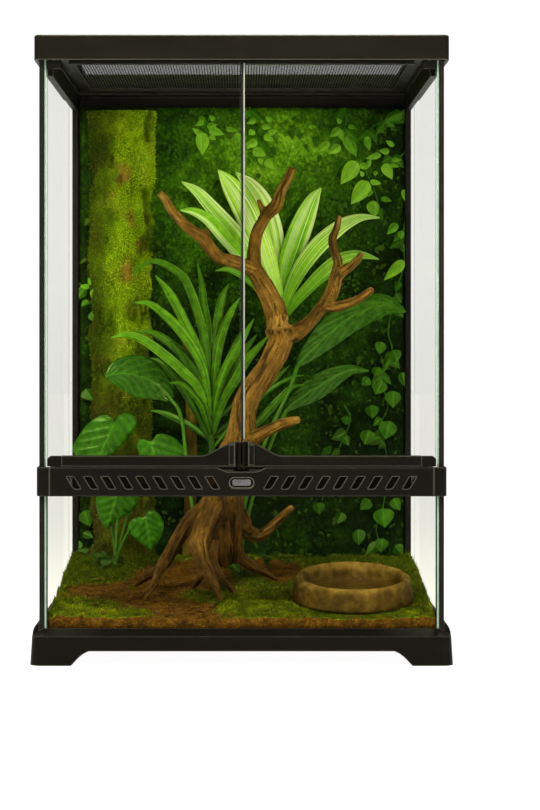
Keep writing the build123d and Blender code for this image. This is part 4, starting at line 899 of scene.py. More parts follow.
rows = np.array(SPRAYS, float)
B = np.array([on_panel(r[0], r[1], 124.6) for r in rows]) + np.c_[np.zeros(len(rows)), R.uniform(-2.4, 1.2, len(rows)), np.zeros(len(rows))]
T = np.array([on_panel(r[2], r[3], 121.8) for r in rows])
d = T - B
# the sprays' tone holds painted light: raised for leaves high on the panel, lowered for leaves low down and at the
# lower left
leaves(vine, B, d, np.c_[R.normal(0, 0.22, len(rows)), -np.ones(len(rows)), R.uniform(0.0, 0.4, len(rows))], np.linalg.norm(d, axis=1) * (1.02 + 0.16 * (rows[:, 1] > 330)), rows[:, 4] * (0.92 + 0.34 * (rows[:, 1] > 330)), np.clip(rows[:, 5] * 1.08 + 0.24 * (rows[:, 1] < 290) - 0.22 * (rows[:, 1] > 330) - 0.12 * ((rows[:, 0] < 110) & (rows[:, 1] > 280)), 0, 1), n_len=17, n_wid=11, fold=0.28, droop=0.10, round_=0.5)
# more leaves of the same vines, further back and darker, their tone following the panel's painted light
VINES = [
    [(408, 108), (392, 118), (372, 128), (360, 150), (366, 172), (376, 196), (380, 222)],
    [(408, 150), (398, 158), (388, 160), (382, 176)],
    [(345, 108), (346, 122), (342, 134), (333, 146)],
    [(407, 210), (402, 240), (404, 262), (396, 292), (388, 330), (392, 352), (380, 378), (388, 405), (378, 430), (386, 452), (384, 500), (376, 530), (386, 552)],
    [(250, 108), (252, 124), (258, 140), (264, 158)],
    [(214, 108), (208, 122), (203, 134)],
    [(77, 282), (86, 287), (94, 289)],
    [(344, 404), (350, 420), (340, 446), (330, 470), (322, 500)],
    [(156, 166), (166, 167), (175, 163), (182, 158)],
]
for path in VINES[:-1]:
    pts = np.array([on_panel(a, b, 126.2) for a, b in path])
    line = spline(pts, 60)
    tube(vine, np.c_[line, np.full(60, 0.62)], 0.62, sides=6, n=60, taper=0.6, rough=0.12, tint=0.25)
    reach = np.linalg.norm(np.diff(pts, axis=0), axis=1).sum()
    k = int(reach / (8.5 if pts[-1, 2] > 300 else 13.0))
    at = np.sort(R.integers(2, 58, k))
    b = line[at] + np.c_[R.normal(0, 0.6, k), R.uniform(-0.6, 1.4, k), R.normal(0, 0.6, k)]
    side = np.where(np.arange(k) % 2, 1.0, -1.0)
    dd = np.c_[side * R.uniform(0.3, 1.1, k), -R.uniform(0.05, 0.35, k), -R.uniform(0.35, 1.1, k)]
    L = R.uniform(8, 15, k)
    g = painted_light_at(b[:, 0], b[:, 2])
    leaves(vine, b, dd, np.c_[R.normal(0, 0.3, k), -np.ones(k), R.uniform(0, 0.5, k)], L, L * R.uniform(0.30, 0.42, k), np.clip(0.02 + 0.42 * g + R.normal(0, 0.05, k), 0.02, 0.7), n_len=11, n_wid=7)
twig = np.array([on_panel(a, b, 126.8) for a, b in VINES[-1]])
tube(vine, np.c_[twig, [1.6, 1.3, 1.0, 0.5]], 1.0, sides=7, n=20, tint=0.08)
V, F, A = vine.done()
V[:, 0] = np.clip(V[:, 0], -139.6, 139.6)
V[:, 2] = np.clip(V[:, 2], 30.0, 440.4)
piece("background_vines", V, F, M_VINE, attrs=A)

# ================================================================ mossy trunk
COLUMN = np.array([(-102, 20, 26.5, 54.6), (-101, 17.5, 27.5, 110), (-102.5, 16.5, 25.5, 170), (-104.5, 17, 25, 240), (-103.5, 17.5, 26, 310), (-102, 18.5, 27.5, 375), (-101.5, 17, 27, 410), (-102.5, 16, 27.5, 437.4)])
na, nh = ((96, 430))
ang, hgt = np.meshgrid(np.linspace(0.0, math.pi, na), np.linspace(44.0, 437.2, nh))
hz = hgt.ravel()
cx, cd, cw = (np.interp(hz, COLUMN[:, 3], COLUMN[:, c]) for c in (0, 1, 2))
a = ang.ravel()
base_pts = np.c_[cx + cw * np.cos(a), 130.8 - cd * np.sin(a), hz]
outward = unit(np.c_[np.cos(a) / cw, -np.sin(a) / cd, np.zeros(len(a))])
clump = fbm(base_pts * (1, 1, 0.42) / 8.0, 3, 22)
bump = 3.4 * fbm(base_pts * (1, 1, 0.6) / 20, 3, 21) + 4.2 * clump + 0.9 * fbm(base_pts / 2.8, 2, 23)
rel = (base_pts[:, 0] - cx) / cw
moss = np.clip(0.95 + 0.5 * fbm(base_pts / 14, 3, 24), 0, 1)
for px, py, rx, ry in ((125, 174, 5.5, 9.5), (131.5, 219, 3.2, 7.5), (139, 246, 3.8, 6.5), (128, 272, 4.5, 7.0), (121, 181, 3.5, 5.0)):
    c = on_panel(px, py, 114.0)
    q = ((base_pts[:, 0] - c[0]) / (rx * 0.86)) ** 2 + ((hz - c[2]) / (ry * 0.86)) ** 2 + 0.8 * fbm(base_pts / 4.0, 3, 25)
    moss = moss * (0.22 + 0.78 * step(q, 0.35, 2.3))
    bump = bump - 0.7 * (1 - step(q, 0.5, 2.0))
moss = moss * np.clip(0.60 + 0.55 * step(hz, 110, 235) - 0.55 * (1 - step(rel, -1.0, -0.30)) * (1 - step(hz, 160, 330)) * (0.6 + fbm(base_pts / 20, 2, 26)), 0, 1)
lit = np.clip(step(rel + 0.16 * fbm(base_pts / 22, 3, 27), -0.92, 0.34) * (0.30 + 0.70 * step(hz, 150, 330)), 0, 1)
hold = step(a, 0, 0.12) * step(math.pi - a, 0, 0.12)
P = base_pts + outward * (bump * hold)[:, None]
P[:, 1] = np.minimum(P[:, 1], 131.0)
V, F, n = closed_relief(P.reshape(nh, na, 3)[:, ::-1], [to_back])
V[-1 - len(edge_ring(nh, na)) :, 1] = np.minimum(V[-1 - len(edge_ring(nh, na)) :, 1], 132.5)


def spread(values, rows, cols, n):
    g = values.reshape(rows, cols)[:, ::-1].ravel()
    return np.r_[g, np.full(n - len(g), g.min())]


piece("mossy_trunk_bark", V, F, M_TRUNK, replaces="mossy_trunk", attrs={"moss": spread(moss, nh, na, n), "shade": spread(np.clip(lit * (0.95 + 1.1 * clump), 0, 1), nh, na, n)})

n = int(76000 * DENSITY)
i = R.integers(2, nh - 1, n)
j = R.integers(2, na - 2, n)
k = i * na + j
keep = R.uniform(0, 1, n) < moss[k] * (0.35 + 0.65 * lit[k])
k = k[keep]
n = len(k)
# the moss tone is painted light: lighter on the lit right side and on clump tops, darker on the left and low down
tone = np.clip(0.08 + lit[k] * (0.80 + 2.3 * clump[k] + 0.7 * fbm(P[k] * (1, 1, 0.5) / 20, 2, 28)) + R.normal(0, 0.09, n), 0, 1)
V, F, A = spikes(P[k] + R.normal(0, 0.5, (n, 3)), outward[k], 1.7, 0.75, 0.8, tone)
V[:, 2] = np.minimum(V[:, 2], 437.6)
V[:, 1] = np.minimum(V[:, 1], 131.5)
piece("mossy_trunk_moss", V, F, M_MOSS_TRUNK, attrs=A, smooth=False)

# slim bare stem against the panel, half hidden by the leaves
thin = Heap()
tube(thin, [(-45.5, 126.5, 38, 6.0), (-44.5, 126.5, 90, 5.2), (-43.0, 126.8, 140, 4.8), (-43.6, 127.0, 185, 4.4), (-46.5, 127.2, 228, 3.6), (-50.5, 127.6, 262, 2.4)], 5, sides=18, n=120)
V, F, A = thin.done()
V = V + unit(V - np.array([-44, 126.5, 0]) * (1, 1, 0) - V * (0, 0, 1)) * (0.7 * fbm(V * (1, 1, 0.25) / 4, 3, 33))[:, None]
V[:, 1] = np.minimum(V[:, 1], 131.0)
piece("background_stem", V, F, M_TRUNK, attrs={"moss": np.clip(0.06 + 0.5 * fbm(V / 12, 2, 34), 0, 0.5), "shade": 0.38 - 0.25 * step(V[:, 2], 170, 250)})

# ================================================================ ground
def on_soil(px, py):
    """Place on the sloping ground that the camera sees at picture position px, py."""
    t = math.tan(math.radians(4.5))
    q = (341 - py) * 0.7442 / 1790
    y = (240.2 - 33 - 142.8 * t + 1940 * q) / (t - q)
    return ((px - 241.85) * 0.7442 * (1940 + y) / 1790, y)


BARE = [
    [(62, 590), (90, 584), (128, 582), (138, 590), (122, 597), (92, 600), (66, 600)],
    [(96, 598), (128, 593), (156, 596), (186, 598), (206, 601), (216, 608), (222, 621), (186, 623), (150, 620), (150, 612), (124, 606)],
    [(128, 580), (150, 566), (196, 560), (232, 572), (238, 584), (212, 592), (190, 590), (176, 600), (150, 600), (132, 594)],
    [(238, 562), (262, 559), (292, 562), (304, 566), (292, 584), (268, 584), (248, 574)],
    [(60, 621), (110, 622), (108, 626), (60, 626)],
]


def inside(pts, poly):
    """Signed distance to a closed outline, positive inside."""
    poly = np.array(poly, float)
    dist, hit = np.full(len(pts), 1e9), np.zeros(len(pts), bool)
    for p, q in zip(poly, np.roll(poly, -1, axis=0)):
        e = q - p
        t = np.clip(((pts - p) @ e) / (e @ e), 0, 1)
        dist = np.minimum(dist, np.linalg.norm(pts - p - t[:, None] * e, axis=1))
        cross = ((p[1] > pts[:, 1]) != (q[1] > pts[:, 1])) & (pts[:, 0] < (q[0] - p[0]) * (pts[:, 1] - p[1]) / (q[1] - p[1] + 1e-12) + p[0])
        hit ^= cross
    return np.where(hit, dist, -dist)


def moss_at(xy):
    p3 = np.c_[xy, np.zeros(len(xy))]
    best = np.full(len(xy), -99.0)
    for poly in BARE:
        best = np.maximum(best, inside(xy, [on_soil(*q) for q in poly]))
    edge = best + 8.0 * fbm(p3 / 15, 3, 41) + 5.0 * fbm(p3 / 5, 2, 42)
    soil = np.maximum(step(edge, -5, 4), 0.75 * step(fbm(p3 / 9, 3, 43), 0.24, 0.42) * (1 - step(xy[:, 1], -60, 10)))
    return np.clip(1 - soil, 0, 1)


def ground(xy):
    """Height of the finished ground in mm."""
    p3 = np.c_[xy, np.zeros(len(xy))]
    m = moss_at(xy)
    front = 1 - 0.85 * np.exp(-(((xy[:, 0] - 86) / 46) ** 2 + ((xy[:, 1] + 134) / 14) ** 2))
    off = step(np.sqrt(((xy[:, 0] - 86) / 47.8) ** 2 + ((xy[:, 1] + 67) / 59.5) ** 2), 1.0, 1.14)
    h = (0.9 * fbm(p3 / 18, 3, 44) + 0.55 * fbm(p3 / 5, 3, 45) + m * (1.9 + 2.8 * fbm(p3 / 8, 3, 46)) * front) * (0.12 + 0.88 * off) - 0.5 * (1 - off)
    pane = step(np.abs(xy[:, 0]), 126, 144) * m * 2.2 * step(xy[:, 1], -140, -60)
    return soil_z(xy[:, 1]) + h + pane, m


nx, ny = ((230, 215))
gx, gy = np.meshgrid(np.linspace(-144.6, 144.6, nx), np.linspace(-142.6, 130.4, ny))
xy = np.c_[gx.ravel(), gy.ravel()]
top, mossy = ground(xy)
grid = np.stack([gx, gy, top.reshape(gx.shape)], -1)


def lower(by):
    def drop(b):
        b[:, 2] -= by
        return b

    return drop


def to_floor(b):
    b[:, 2] = 22.2
    return b


V, F, n = closed_relief(grid, [lower(1.2), lower(2.6), to_floor])
piece("ground", V, F, M_SOIL, replaces="substrate", attrs={"moss": np.r_[mossy, np.zeros(n - len(mossy))]})

n = int(150000 * DENSITY)
xy = np.c_[R.uniform(-144.2, 144.2, n), R.uniform(-142.2, 124.0, n)]
z, m_ = ground(xy)
weight = m_ * np.clip(1.15 - (xy[:, 1] + 142) / 420, 0.5, 1)
dish_gap = ((xy[:, 0] - 86) / 48.5) ** 2 + ((xy[:, 1] + 67) / 60.5) ** 2 > 1
keep = (R.uniform(0, 1, n) < weight * 0.62) & dish_gap
xy, z, m_ = xy[keep], z[keep], m_[keep]
n = len(xy)
P3 = np.c_[xy, z]
border = step(np.abs(xy[:, 0]), 124, 142)
tuft = fbm(np.c_[xy, np.zeros(n)] / 8, 3, 46)
sunny = np.exp(-(((xy[:, 0] - 14) / 42) ** 2 + ((xy[:, 1] + 112) / 26) ** 2)) + np.exp(-(((xy[:, 0] + 112) / 40) ** 2 + ((xy[:, 1] + 122) / 22) ** 2))
light = np.clip(0.34 + 0.42 * sunny + 1.05 * tuft + 0.35 * fbm(P3 / 14, 3, 47), 0, 1) * (1 - 0.60 * step(xy[:, 1], -80, 20)) * (1 - 0.2 * border)
tone = np.clip(0.10 + 0.75 * light + R.normal(0, 0.1, n), 0, 1)
up = np.tile([0.0, -0.08, 1.0], (n, 1))
V, F, A = spikes(P3, up, (2.2 + 2.4 * border * R.uniform(0, 1, n) * step(xy[:, 1], -140, -80) + 2.6 * R.uniform(0, 1, n) ** 2 * step(xy[:, 1], -40, 60)) * (1 - 0.6 * np.exp(-(((xy[:, 0] - 86) / 46) ** 2 + ((xy[:, 1] + 134) / 14) ** 2))), 0.75, 0.6, tone)
V[:, 0] = np.clip(V[:, 0], -144.9, 144.9)
V[:, 1] = np.maximum(V[:, 1], -142.85)
piece("ground_moss", V, F, M_MOSS_SOIL, replaces="moss_patches", attrs=A, smooth=False)

# crumbs of soil and bark, leaf litter and small ground plants
crumb = Heap()
n = int(1900 * max(DENSITY, 0.5))
xy = np.c_[R.uniform(-142, 142, n), R.uniform(-141, 60, n)]
z, m_ = ground(xy)
keep = (((xy[:, 0] - 86) / 50) ** 2 + ((xy[:, 1] + 67) / 62) ** 2 > 1) & (R.uniform(0, 1, n) > m_ * 0.8)
xy, z = xy[keep], z[keep]
n = len(xy)
octa = np.array([(1, 0, 0), (-1, 0, 0), (0, 1, 0), (0, -1, 0), (0, 0, 1), (0, 0, -1)], float)
tri = np.array([(0, 2, 4), (2, 1, 4), (1, 3, 4), (3, 0, 4), (2, 0, 5), (1, 2, 5), (3, 1, 5), (0, 3, 5)])
size = R.gamma(2.2, 0.36, n)[:, None, None]
body = octa[None] * R.uniform(0.5, 1.4, (n, 6, 1)) * size * R.uniform(0.6, 1.3, (n, 1, 3))
spin = R.uniform(0, 2 * math.pi, n)
c, s = np.cos(spin)[:, None], np.sin(spin)[:, None]
body = np.stack([body[..., 0] * c - body[..., 1] * s, body[..., 0] * s + body[..., 1] * c, body[..., 2] * 0.7], -1)
V = (body + np.c_[xy, z + 0.2][:, None, :]).reshape(-1, 3)
V[:, 0] = np.clip(V[:, 0], -144.8, 144.8)
V[:, 1] = np.maximum(V[:, 1], -142.8)
F = (tri[None] + (np.arange(n) * 6)[:, None, None]).reshape(-1, 3)
piece("soil_crumbs", V, F, M_SOIL, attrs={"moss": np.zeros(len(V))}, smooth=False)

litter = Heap()
n = 150
xy = np.c_[R.uniform(-135, 40, n), R.uniform(-136, 20, n)]
z, m_ = ground(xy)
turn = R.uniform(0, 2 * math.pi, n)
leaves(litter, np.c_[xy, z + 0.8], np.c_[np.cos(turn), np.sin(turn), R.uniform(-0.1, 0.25, n)], np.c_[R.normal(0, 0.3, n), R.normal(0, 0.3, n), np.ones(n)], R.uniform(3, 7, n), R.uniform(0.9, 2.0, n), R.uniform(0.1, 0.9, n), n_len=7, n_wid=5, droop=0.15)
for _ in range(46):
    x, y = R.uniform(-130, 50), R.uniform(-134, 10)
    t, L = R.uniform(0, 2 * math.pi), R.uniform(5, 13)
    e = np.array([[x, y], [x + math.cos(t) * L * 0.5 + R.normal(0, 0.6), y + math.sin(t) * L * 0.5], [x + math.cos(t) * L, y + math.sin(t) * L]])
    e[:, 0] = np.clip(e[:, 0], -143, 143)
    e[:, 1] = np.maximum(e[:, 1], -141)
    zz, _m = ground(e)
    tube(litter, np.c_[e, zz + 0.6], R.uniform(0.25, 0.55), sides=6, n=8, taper=0.5, tint=R.uniform(0.1, 0.8))
V, F, A = litter.done()
piece("leaf_litter", V, F, M_LITTER, attrs=A)

cover = Heap()
for cx0, cy0, sx, sy, count in ((-118, 62, 5, 8, 13), (28, 62, 11, 6, 11)):
    n = int(count * max(DENSITY, 0.5))
    xy = np.c_[R.normal(cx0, sx, n), R.normal(cy0, sy, n)]
    keep = (np.abs(xy[:, 0]) < 142) & (xy[:, 1] < 122) & (xy[:, 1] > -138) & (((xy[:, 0] - 86) / 54) ** 2 + ((xy[:, 1] + 67) / 66) ** 2 > 1)
    xy = xy[keep]
    n = len(xy)
    z, m_ = ground(xy)
    turn = R.uniform(0, 2 * math.pi, n)
    tall = R.uniform(3.0, 15.0, n)
    L = R.uniform(6.0, 10.5, n)
    leaves(cover, np.c_[xy, z + tall], np.c_[np.cos(turn), np.sin(turn) * 0.8 - 0.25, R.uniform(-0.5, 0.5, n)], np.c_[R.normal(0, 0.5, n), -0.5 - R.uniform(0, 0.6, n), np.ones(n) * 0.8], L, L * 0.34, np.clip(R.normal(0.02, 0.06, n), 0.0, 0.5), n_len=6, n_wid=5)
V, F, A = cover.done()
V[:, 0] = np.clip(V[:, 0], -140.0, 140.0)
V[:, 1] = np.clip(V[:, 1], -142.8, 130.0)
piece("ground_plants", V, F, M_FOLIAGE, attrs=A)

# ================================================================ driftwood
# Centre lines of the driftwood's limbs and of the leaves: (x, y, z, radius or half width)
LIMBS = {
    "stem": [(-15.2, 5, 63.1, 13), (-14.8, -4, 80.0, 14.5), (-14.3, -8, 96.4, 16), (-14.2, -10, 115.5, 17), (-11.1, -8, 130.2, 16), (-5.5, -6, 148.5, 14), (0.7, -4, 166.1, 12), (1.7, -2, 181.4, 10.6), (6.8, 0, 196.8, 10.6), (16.6, 2, 211.1, 10.2), (25.4, 4, 225.7, 10), (31.6, 5, 240.0, 10.6), (30.8, 5, 250.7, 12.6)],
    "left_fork": [(31.7, 5, 244.2, 10), (27.3, 8, 263.7, 9), (23.6, 10, 274.3, 8.2), (17.2, 13, 286.3, 7.9), (10.7, 15, 298.3, 7.1), (9.6, 16, 310.4, 6), (11.3, 16, 325.6, 5.6), (16.2, 14, 336.4, 5.4), (21.6, 12, 343.9, 5.4), (28.1, 10, 350.1, 5.4), (31.9, 8, 361.0, 4.6), (37.8, 5, 371.7, 3.8), (41.0, 3, 380.0, 3.6)],
    "left_twig": [(19.6, 13, 340.9, 3.6), (16.8, 13, 346.2, 2.8), (13.0, 14, 354.7, 2.2)],
    "left_arm": [(11.5, 15, 297.1, 6.6), (-1.5, 8, 302.6, 6.4), (-9.0, 2, 305.0, 6), (-17.6, -5, 307.0, 5.7), (-24.0, -10, 312.4, 5.8), (-30.4, -16, 322.1, 6), (-37.8, -21, 326.7, 5), (-46.2, -26, 333.4, 4.7), (-54.6, -31, 342.6, 4), (-60.3, -35, 352.0, 3.4), (-65.0, -38, 357.4, 2.9)],
    "left_knob": [(-30.3, -15, 321.0, 5), (-29.6, -16, 327.4, 4.6), (-29.6, -16, 329.4, 3)],
    "right_fork": [(31.7, 5, 244.2, 9), (40.5, 3, 246.7, 7.8), (49.3, -1, 251.5, 6.2), (55.1, -4, 256.5, 5.4), (61.1, -7, 263.7, 5.4), (67.7, -10, 271.3, 6), (72.3, -12, 279.9, 5.8), (74.9, -14, 290.6, 5.6), (76.6, -15, 301.8, 4.4), (73.7, -16, 312.4, 3.7), (72.1, -16, 321.4, 3.6), (75.3, -17, 329.7, 3), (77.5, -18, 340.1, 2.7)],
    "right_twig_a": [(76.2, -14, 291.4, 4.4), (80.8, -18, 295.3, 3.8), (86.2, -23, 299.3, 3.7), (92.0, -27, 305.1, 3.4), (95.1, -29, 310.0, 2.6)],
    "right_twig_b": [(67.5, -10, 268.3, 5), (73.8, -13, 267.4, 4.6), (82.2, -17, 269.1, 4.3), (91.3, -20, 272.6, 3.7), (99.3, -23, 277.7, 3.3), (104.3, -25, 281.8, 2.6)],
    "low_branch": [(2.5, -6, 159.0, 7.6), (11.9, -14, 163.4, 6), (21.0, -21, 168.8, 5), (30.0, -27, 173.6, 4.6), (39.0, -33, 176.8, 4), (45.7, -37, 178.3, 2.8)],
    "root_a": [(-22.3, -12, 108.7, 11), (-31.0, -20, 103.7, 8.6), (-40.3, -24, 98.0, 6.6), (-48.7, -27, 85.2, 6), (-58.3, -26, 69.1, 5.4), (-64.9, -22, 60.2, 4.6), (-75.7, -18, 52.7, 3.6), (-87.7, -12.7, 43.2, 1.6)],
    "root_a2": [(-61.2, -26, 65.9, 4.6), (-66.2, -40, 56.9, 4), (-68.0, -52, 51.5, 3.5), (-72.5, -62, 44.2, 2.7), (-75.7, -70.3, 38.7, 1.5)],
    "root_b": [(-20.7, -18, 106.8, 11.5), (-28.4, -32, 94.2, 9), (-33.5, -42, 82.2, 7.8), (-31.3, -50, 70.2, 6.6), (-25.4, -58, 57.3, 5.2), (-19.5, -66, 46.6, 3.9), (-15.8, -75.7, 38.3, 1.7)],
    "root_b_side": [(-31.2, -54, 63.8, 4.4), (-32.5, -54, 55.1, 3), (-36.2, -40, 48.2, 2.4), (-40.7, -26.7, 42.1, 1.4)],
    "root_b2": [(-23.7, -30, 82.2, 6.5), (-23.0, -36, 66.8, 4.6), (-16.6, -42, 54.8, 3.8), (-9.2, -43, 46.8, 3), (-1.9, -44.0, 40.8, 1.5)],
    "hook": [(-10.3, -8, 108.5, 12), (-3.9, -2, 99.2, 9.5), (0.9, 3, 89.9, 8), (7.4, 6, 84.5, 7), (15.0, 9, 83.8, 6.1), (22.7, 11, 88.8, 5), (30.3, 12, 96.3, 4.1), (37.9, 12, 103.2, 3.3), (42.0, 12, 106.3, 2.6)],
    "root_d": [(-11.1, -6, 96.3, 10), (-6.3, 2, 79.5, 7), (-1.5, 8, 66.9, 5.6), (8.6, 12, 58.1, 4.6), (18.4, 17, 52.6, 3.5), (29.4, 20.7, 45.9, 1.6)],
}
DRACAENA = [
    [(-71.6, 60, 294.7, 0.5), (-59.3, 66, 279.4, 4.4), (-47.6, 68, 257.1, 5.2), (-33.7, 64, 227.3, 5), (-27.3, 58, 195.5, 4), (-25.1, 55, 166.4, 3)],
    [(-88.7, 44, 293.8, 0.4), (-86.7, 48, 298.3, 1.4), (-80.3, 54, 304.0, 2.2), (-71.6, 60, 306.4, 2.8), (-62.9, 66, 303.8, 3.4), (-51.9, 72, 296.7, 4), (-45.3, 75, 287.9, 4.4), (-35.0, 74, 259.5, 4.8), (-29.5, 68, 231.5, 4.8), (-25.1, 56, 166.3, 3)],
    [(-37.0, 84, 305.0, 0.4), (-33.6, 84, 289.0, 3), (-31.9, 82, 270.0, 4.6), (-28.5, 74, 243.2, 5), (-25.1, 57, 166.3, 3)],
    [(-10.5, 86, 288.4, 0.4), (-16.4, 84, 277.6, 3.6), (-20.0, 80, 259.3, 4.8), (-23.3, 72, 231.5, 4.6), (-25.1, 58, 166.3, 3)],
    [(-1.3, 66, 276.1, 0.4), (-8.2, 68, 265.6, 3.2), (-15.7, 68, 248.5, 4.6), (-21.0, 64, 223.0, 4.6), (-24.8, 57, 166.3, 3)],
    [(-87.1, 34, 271.4, 0.4), (-76.4, 40, 271.0, 3), (-63.9, 46, 262.2, 4.4), (-51.4, 50, 249.5, 5.2), (-38.8, 52, 231.6, 5.2), (-30.4, 53, 210.4, 4.6), (-25.1, 54, 166.4, 3)],
    [(-88.6, 80, 248.0, 0.4), (-75.9, 82, 247.5, 3), (-60.8, 80, 238.9, 4.6), (-45.7, 74, 225.1, 5), (-34.9, 68, 210.1, 4.8), (-28.3, 62, 193.3, 4.2), (-25.1, 57, 166.3, 3)],
    [(-106.4, 30, 243.1, 0.4), (-96.1, 34, 245.3, 3), (-82.6, 38, 242.1, 4.4), (-66.0, 42, 230.6, 5), (-49.3, 46, 215.8, 5), (-34.6, 50, 198.8, 4.4), (-25.6, 53, 164.8, 3)],
    [(-58.1, 26, 206.1, 0.4), (-49.9, 32, 205.5, 2.4), (-40.7, 38, 197.0, 3.4), (-32.3, 44, 185.3, 3.8), (-25.7, 52, 163.2, 3)],
    [(10.1, 50, 258.4, 0.4), (1.8, 52, 244.3, 3.4), (-6.1, 54, 231.1, 4.6), (-14.5, 54, 214.5, 4.6), (-20.9, 55, 194.6, 4), (-24.8, 56, 164.7, 3)],
    [(12.9, 76, 245.9, 0.4), (5.0, 74, 235.8, 3.2), (-1.9, 72, 225.1, 4.4), (-9.3, 68, 210.1, 4.6), (-17.8, 62, 191.1, 4), (-24.5, 58, 164.6, 3)],
    [(22.5, 40, 245.1, 0.4), (13.3, 43, 234.8, 3), (3.8, 46, 223.9, 4.4), (-4.8, 48, 208.8, 4.6), (-14.8, 51, 191.4, 4), (-24.5, 54, 163.1, 3)],
    [(52.1, 78, 203.6, 0.4), (42.4, 78, 201.6, 2.6), (32.8, 76, 193.0, 4), (22.0, 72, 181.3, 4.4), (11.0, 68, 170.9, 4), (-4.9, 62, 164.5, 3.6), (-24.0, 57, 159.7, 3)],
    [(40.0, 90, 219.5, 0.4), (29.6, 88, 209.0, 2.6), (16.9, 82, 195.6, 4), (1.0, 72, 180.8, 4.2), (-11.5, 64, 171.0, 3.8), (-24.8, 58, 159.6, 3)],
]
STRIPED = [
    [(-19.7, 96, 384.7, 0.5), (-10.6, 98, 373.5, 5), (-1.0, 100, 358.9, 7), (6.7, 102, 344.1, 7.6), (15.8, 106, 322.7, 7.4), (24.0, 110, 299.0, 6), (31.8, 116, 275.2, 3.6), (35.3, 121, 261.6, 2)],
    [(-5.0, 112, 383.5, 0.5), (7.0, 114, 372.6, 4.6), (17.2, 115, 356.4, 7), (24.1, 116, 335.1, 7.6), (28.4, 117, 307.8, 7), (32.7, 119, 282.1, 4.6), (35.7, 122, 263.3, 2)],
    [(-49.9, 84, 373.7, 0.5), (-37.7, 90, 366.1, 3.4), (-25.3, 94, 352.8, 5), (-12.9, 98, 339.4, 5.6), (-1.6, 102, 325.9, 5.6), (12.0, 108, 305.8, 5), (24.9, 114, 282.0, 3.8), (34.4, 121, 262.5, 2)],
    [(-51.0, 78, 349.7, 0.5), (-39.8, 84, 348.9, 3), (-27.6, 90, 342.4, 4.4), (-16.3, 94, 330.2, 5), (-3.3, 100, 315.7, 5), (11.2, 106, 297.2, 4.6), (24.9, 114, 276.9, 3.6), (34.4, 121, 260.8, 2)],
    [(67.1, 98, 369.3, 0.5), (60.4, 102, 359.9, 4.4), (53.4, 106, 343.1, 7.2), (46.2, 110, 322.9, 8), (39.8, 114, 302.5, 7), (36.5, 118, 282.1, 4.4), (35.7, 122, 263.3, 2)],
    [(115.0, 76, 343.4, 0.4), (101.2, 82, 343.9, 2.4), (88.0, 88, 339.4, 4.4), (75.7, 92, 330.8, 5.6), (62.3, 98, 318.2, 6), (49.7, 106, 301.0, 5.4), (40.7, 114, 282.0, 4), (36.1, 121, 261.6, 2)],
    [(114.1, 72, 308.5, 0.4), (104.3, 78, 311.5, 2.4), (93.4, 84, 312.2, 4.2), (80.1, 90, 307.7, 5.2), (66.8, 98, 297.0, 5.6), (55.7, 106, 285.3, 5), (45.4, 114, 273.5, 4), (36.5, 121, 259.9, 2)],
]
BROAD = [
    [(136.6, 70, 264.5, 0.6), (124.1, 74, 269.5, 6.4), (111.9, 77, 268.9, 9.6), (90.7, 80, 259.5, 11), (69.2, 80, 242.7, 9.6), (53.8, 78, 227.6, 5.4), (46.6, 74, 219.3, 1.4)],
    [(106.2, 80, 215.3, 0.6), (90.7, 82, 215.8, 4), (75.8, 82, 209.1, 7.6), (64.0, 80, 201.6, 8.8), (54.2, 78, 195.7, 7.8), (42.8, 74, 187.4, 4), (36.9, 70, 181.7, 1.2)],
    [(-113.0, 66, 211.3, 0.8), (-105.9, 68, 212.7, 8.6), (-95.6, 70, 213.3, 13.4), (-85.2, 71, 210.9, 15.4), (-75.1, 71, 206.8, 14.6), (-65.9, 69, 200.1, 10), (-59.1, 66, 191.8, 3)],
]
BROAD_STEMS = [
    [(46.6, 74, 219.3), (38.5, 64, 197.7), (20.0, 52, 158.2), (3.4, 46, 108.9), (-3.2, 44, 62.9)],
    [(36.9, 70, 181.7), (23.4, 58, 153.0), (8.4, 50, 108.7), (-1.5, 48, 61.7)],
    [(-59.1, 66, 191.8), (-52.9, 64, 184.4), (-49.0, 61, 171.2), (-46.9, 58, 153.0), (-42.9, 52, 116.8), (-37.1, 48, 92.3), (-22.9, 42, 59.7)],
]
HEART_STEMS = [
    [(-107.5, 92, 170.1), (-116.5, 92, 131.2), (-109.5, 88, 89.3), (-105.9, 84, 59.3)],
    [(-76.6, 80, 156.2), (-85.6, 82, 123.3), (-99.1, 82, 81.3), (-104.0, 80, 58.8)],
    [(-102.1, 76, 118.7), (-103.9, 78, 90.0), (-105.6, 78, 59.8)],
    [(-79.9, 66, 93.4), (-90.1, 70, 87.3), (-100.4, 74, 69.4), (-104.6, 76, 56.6)],
]
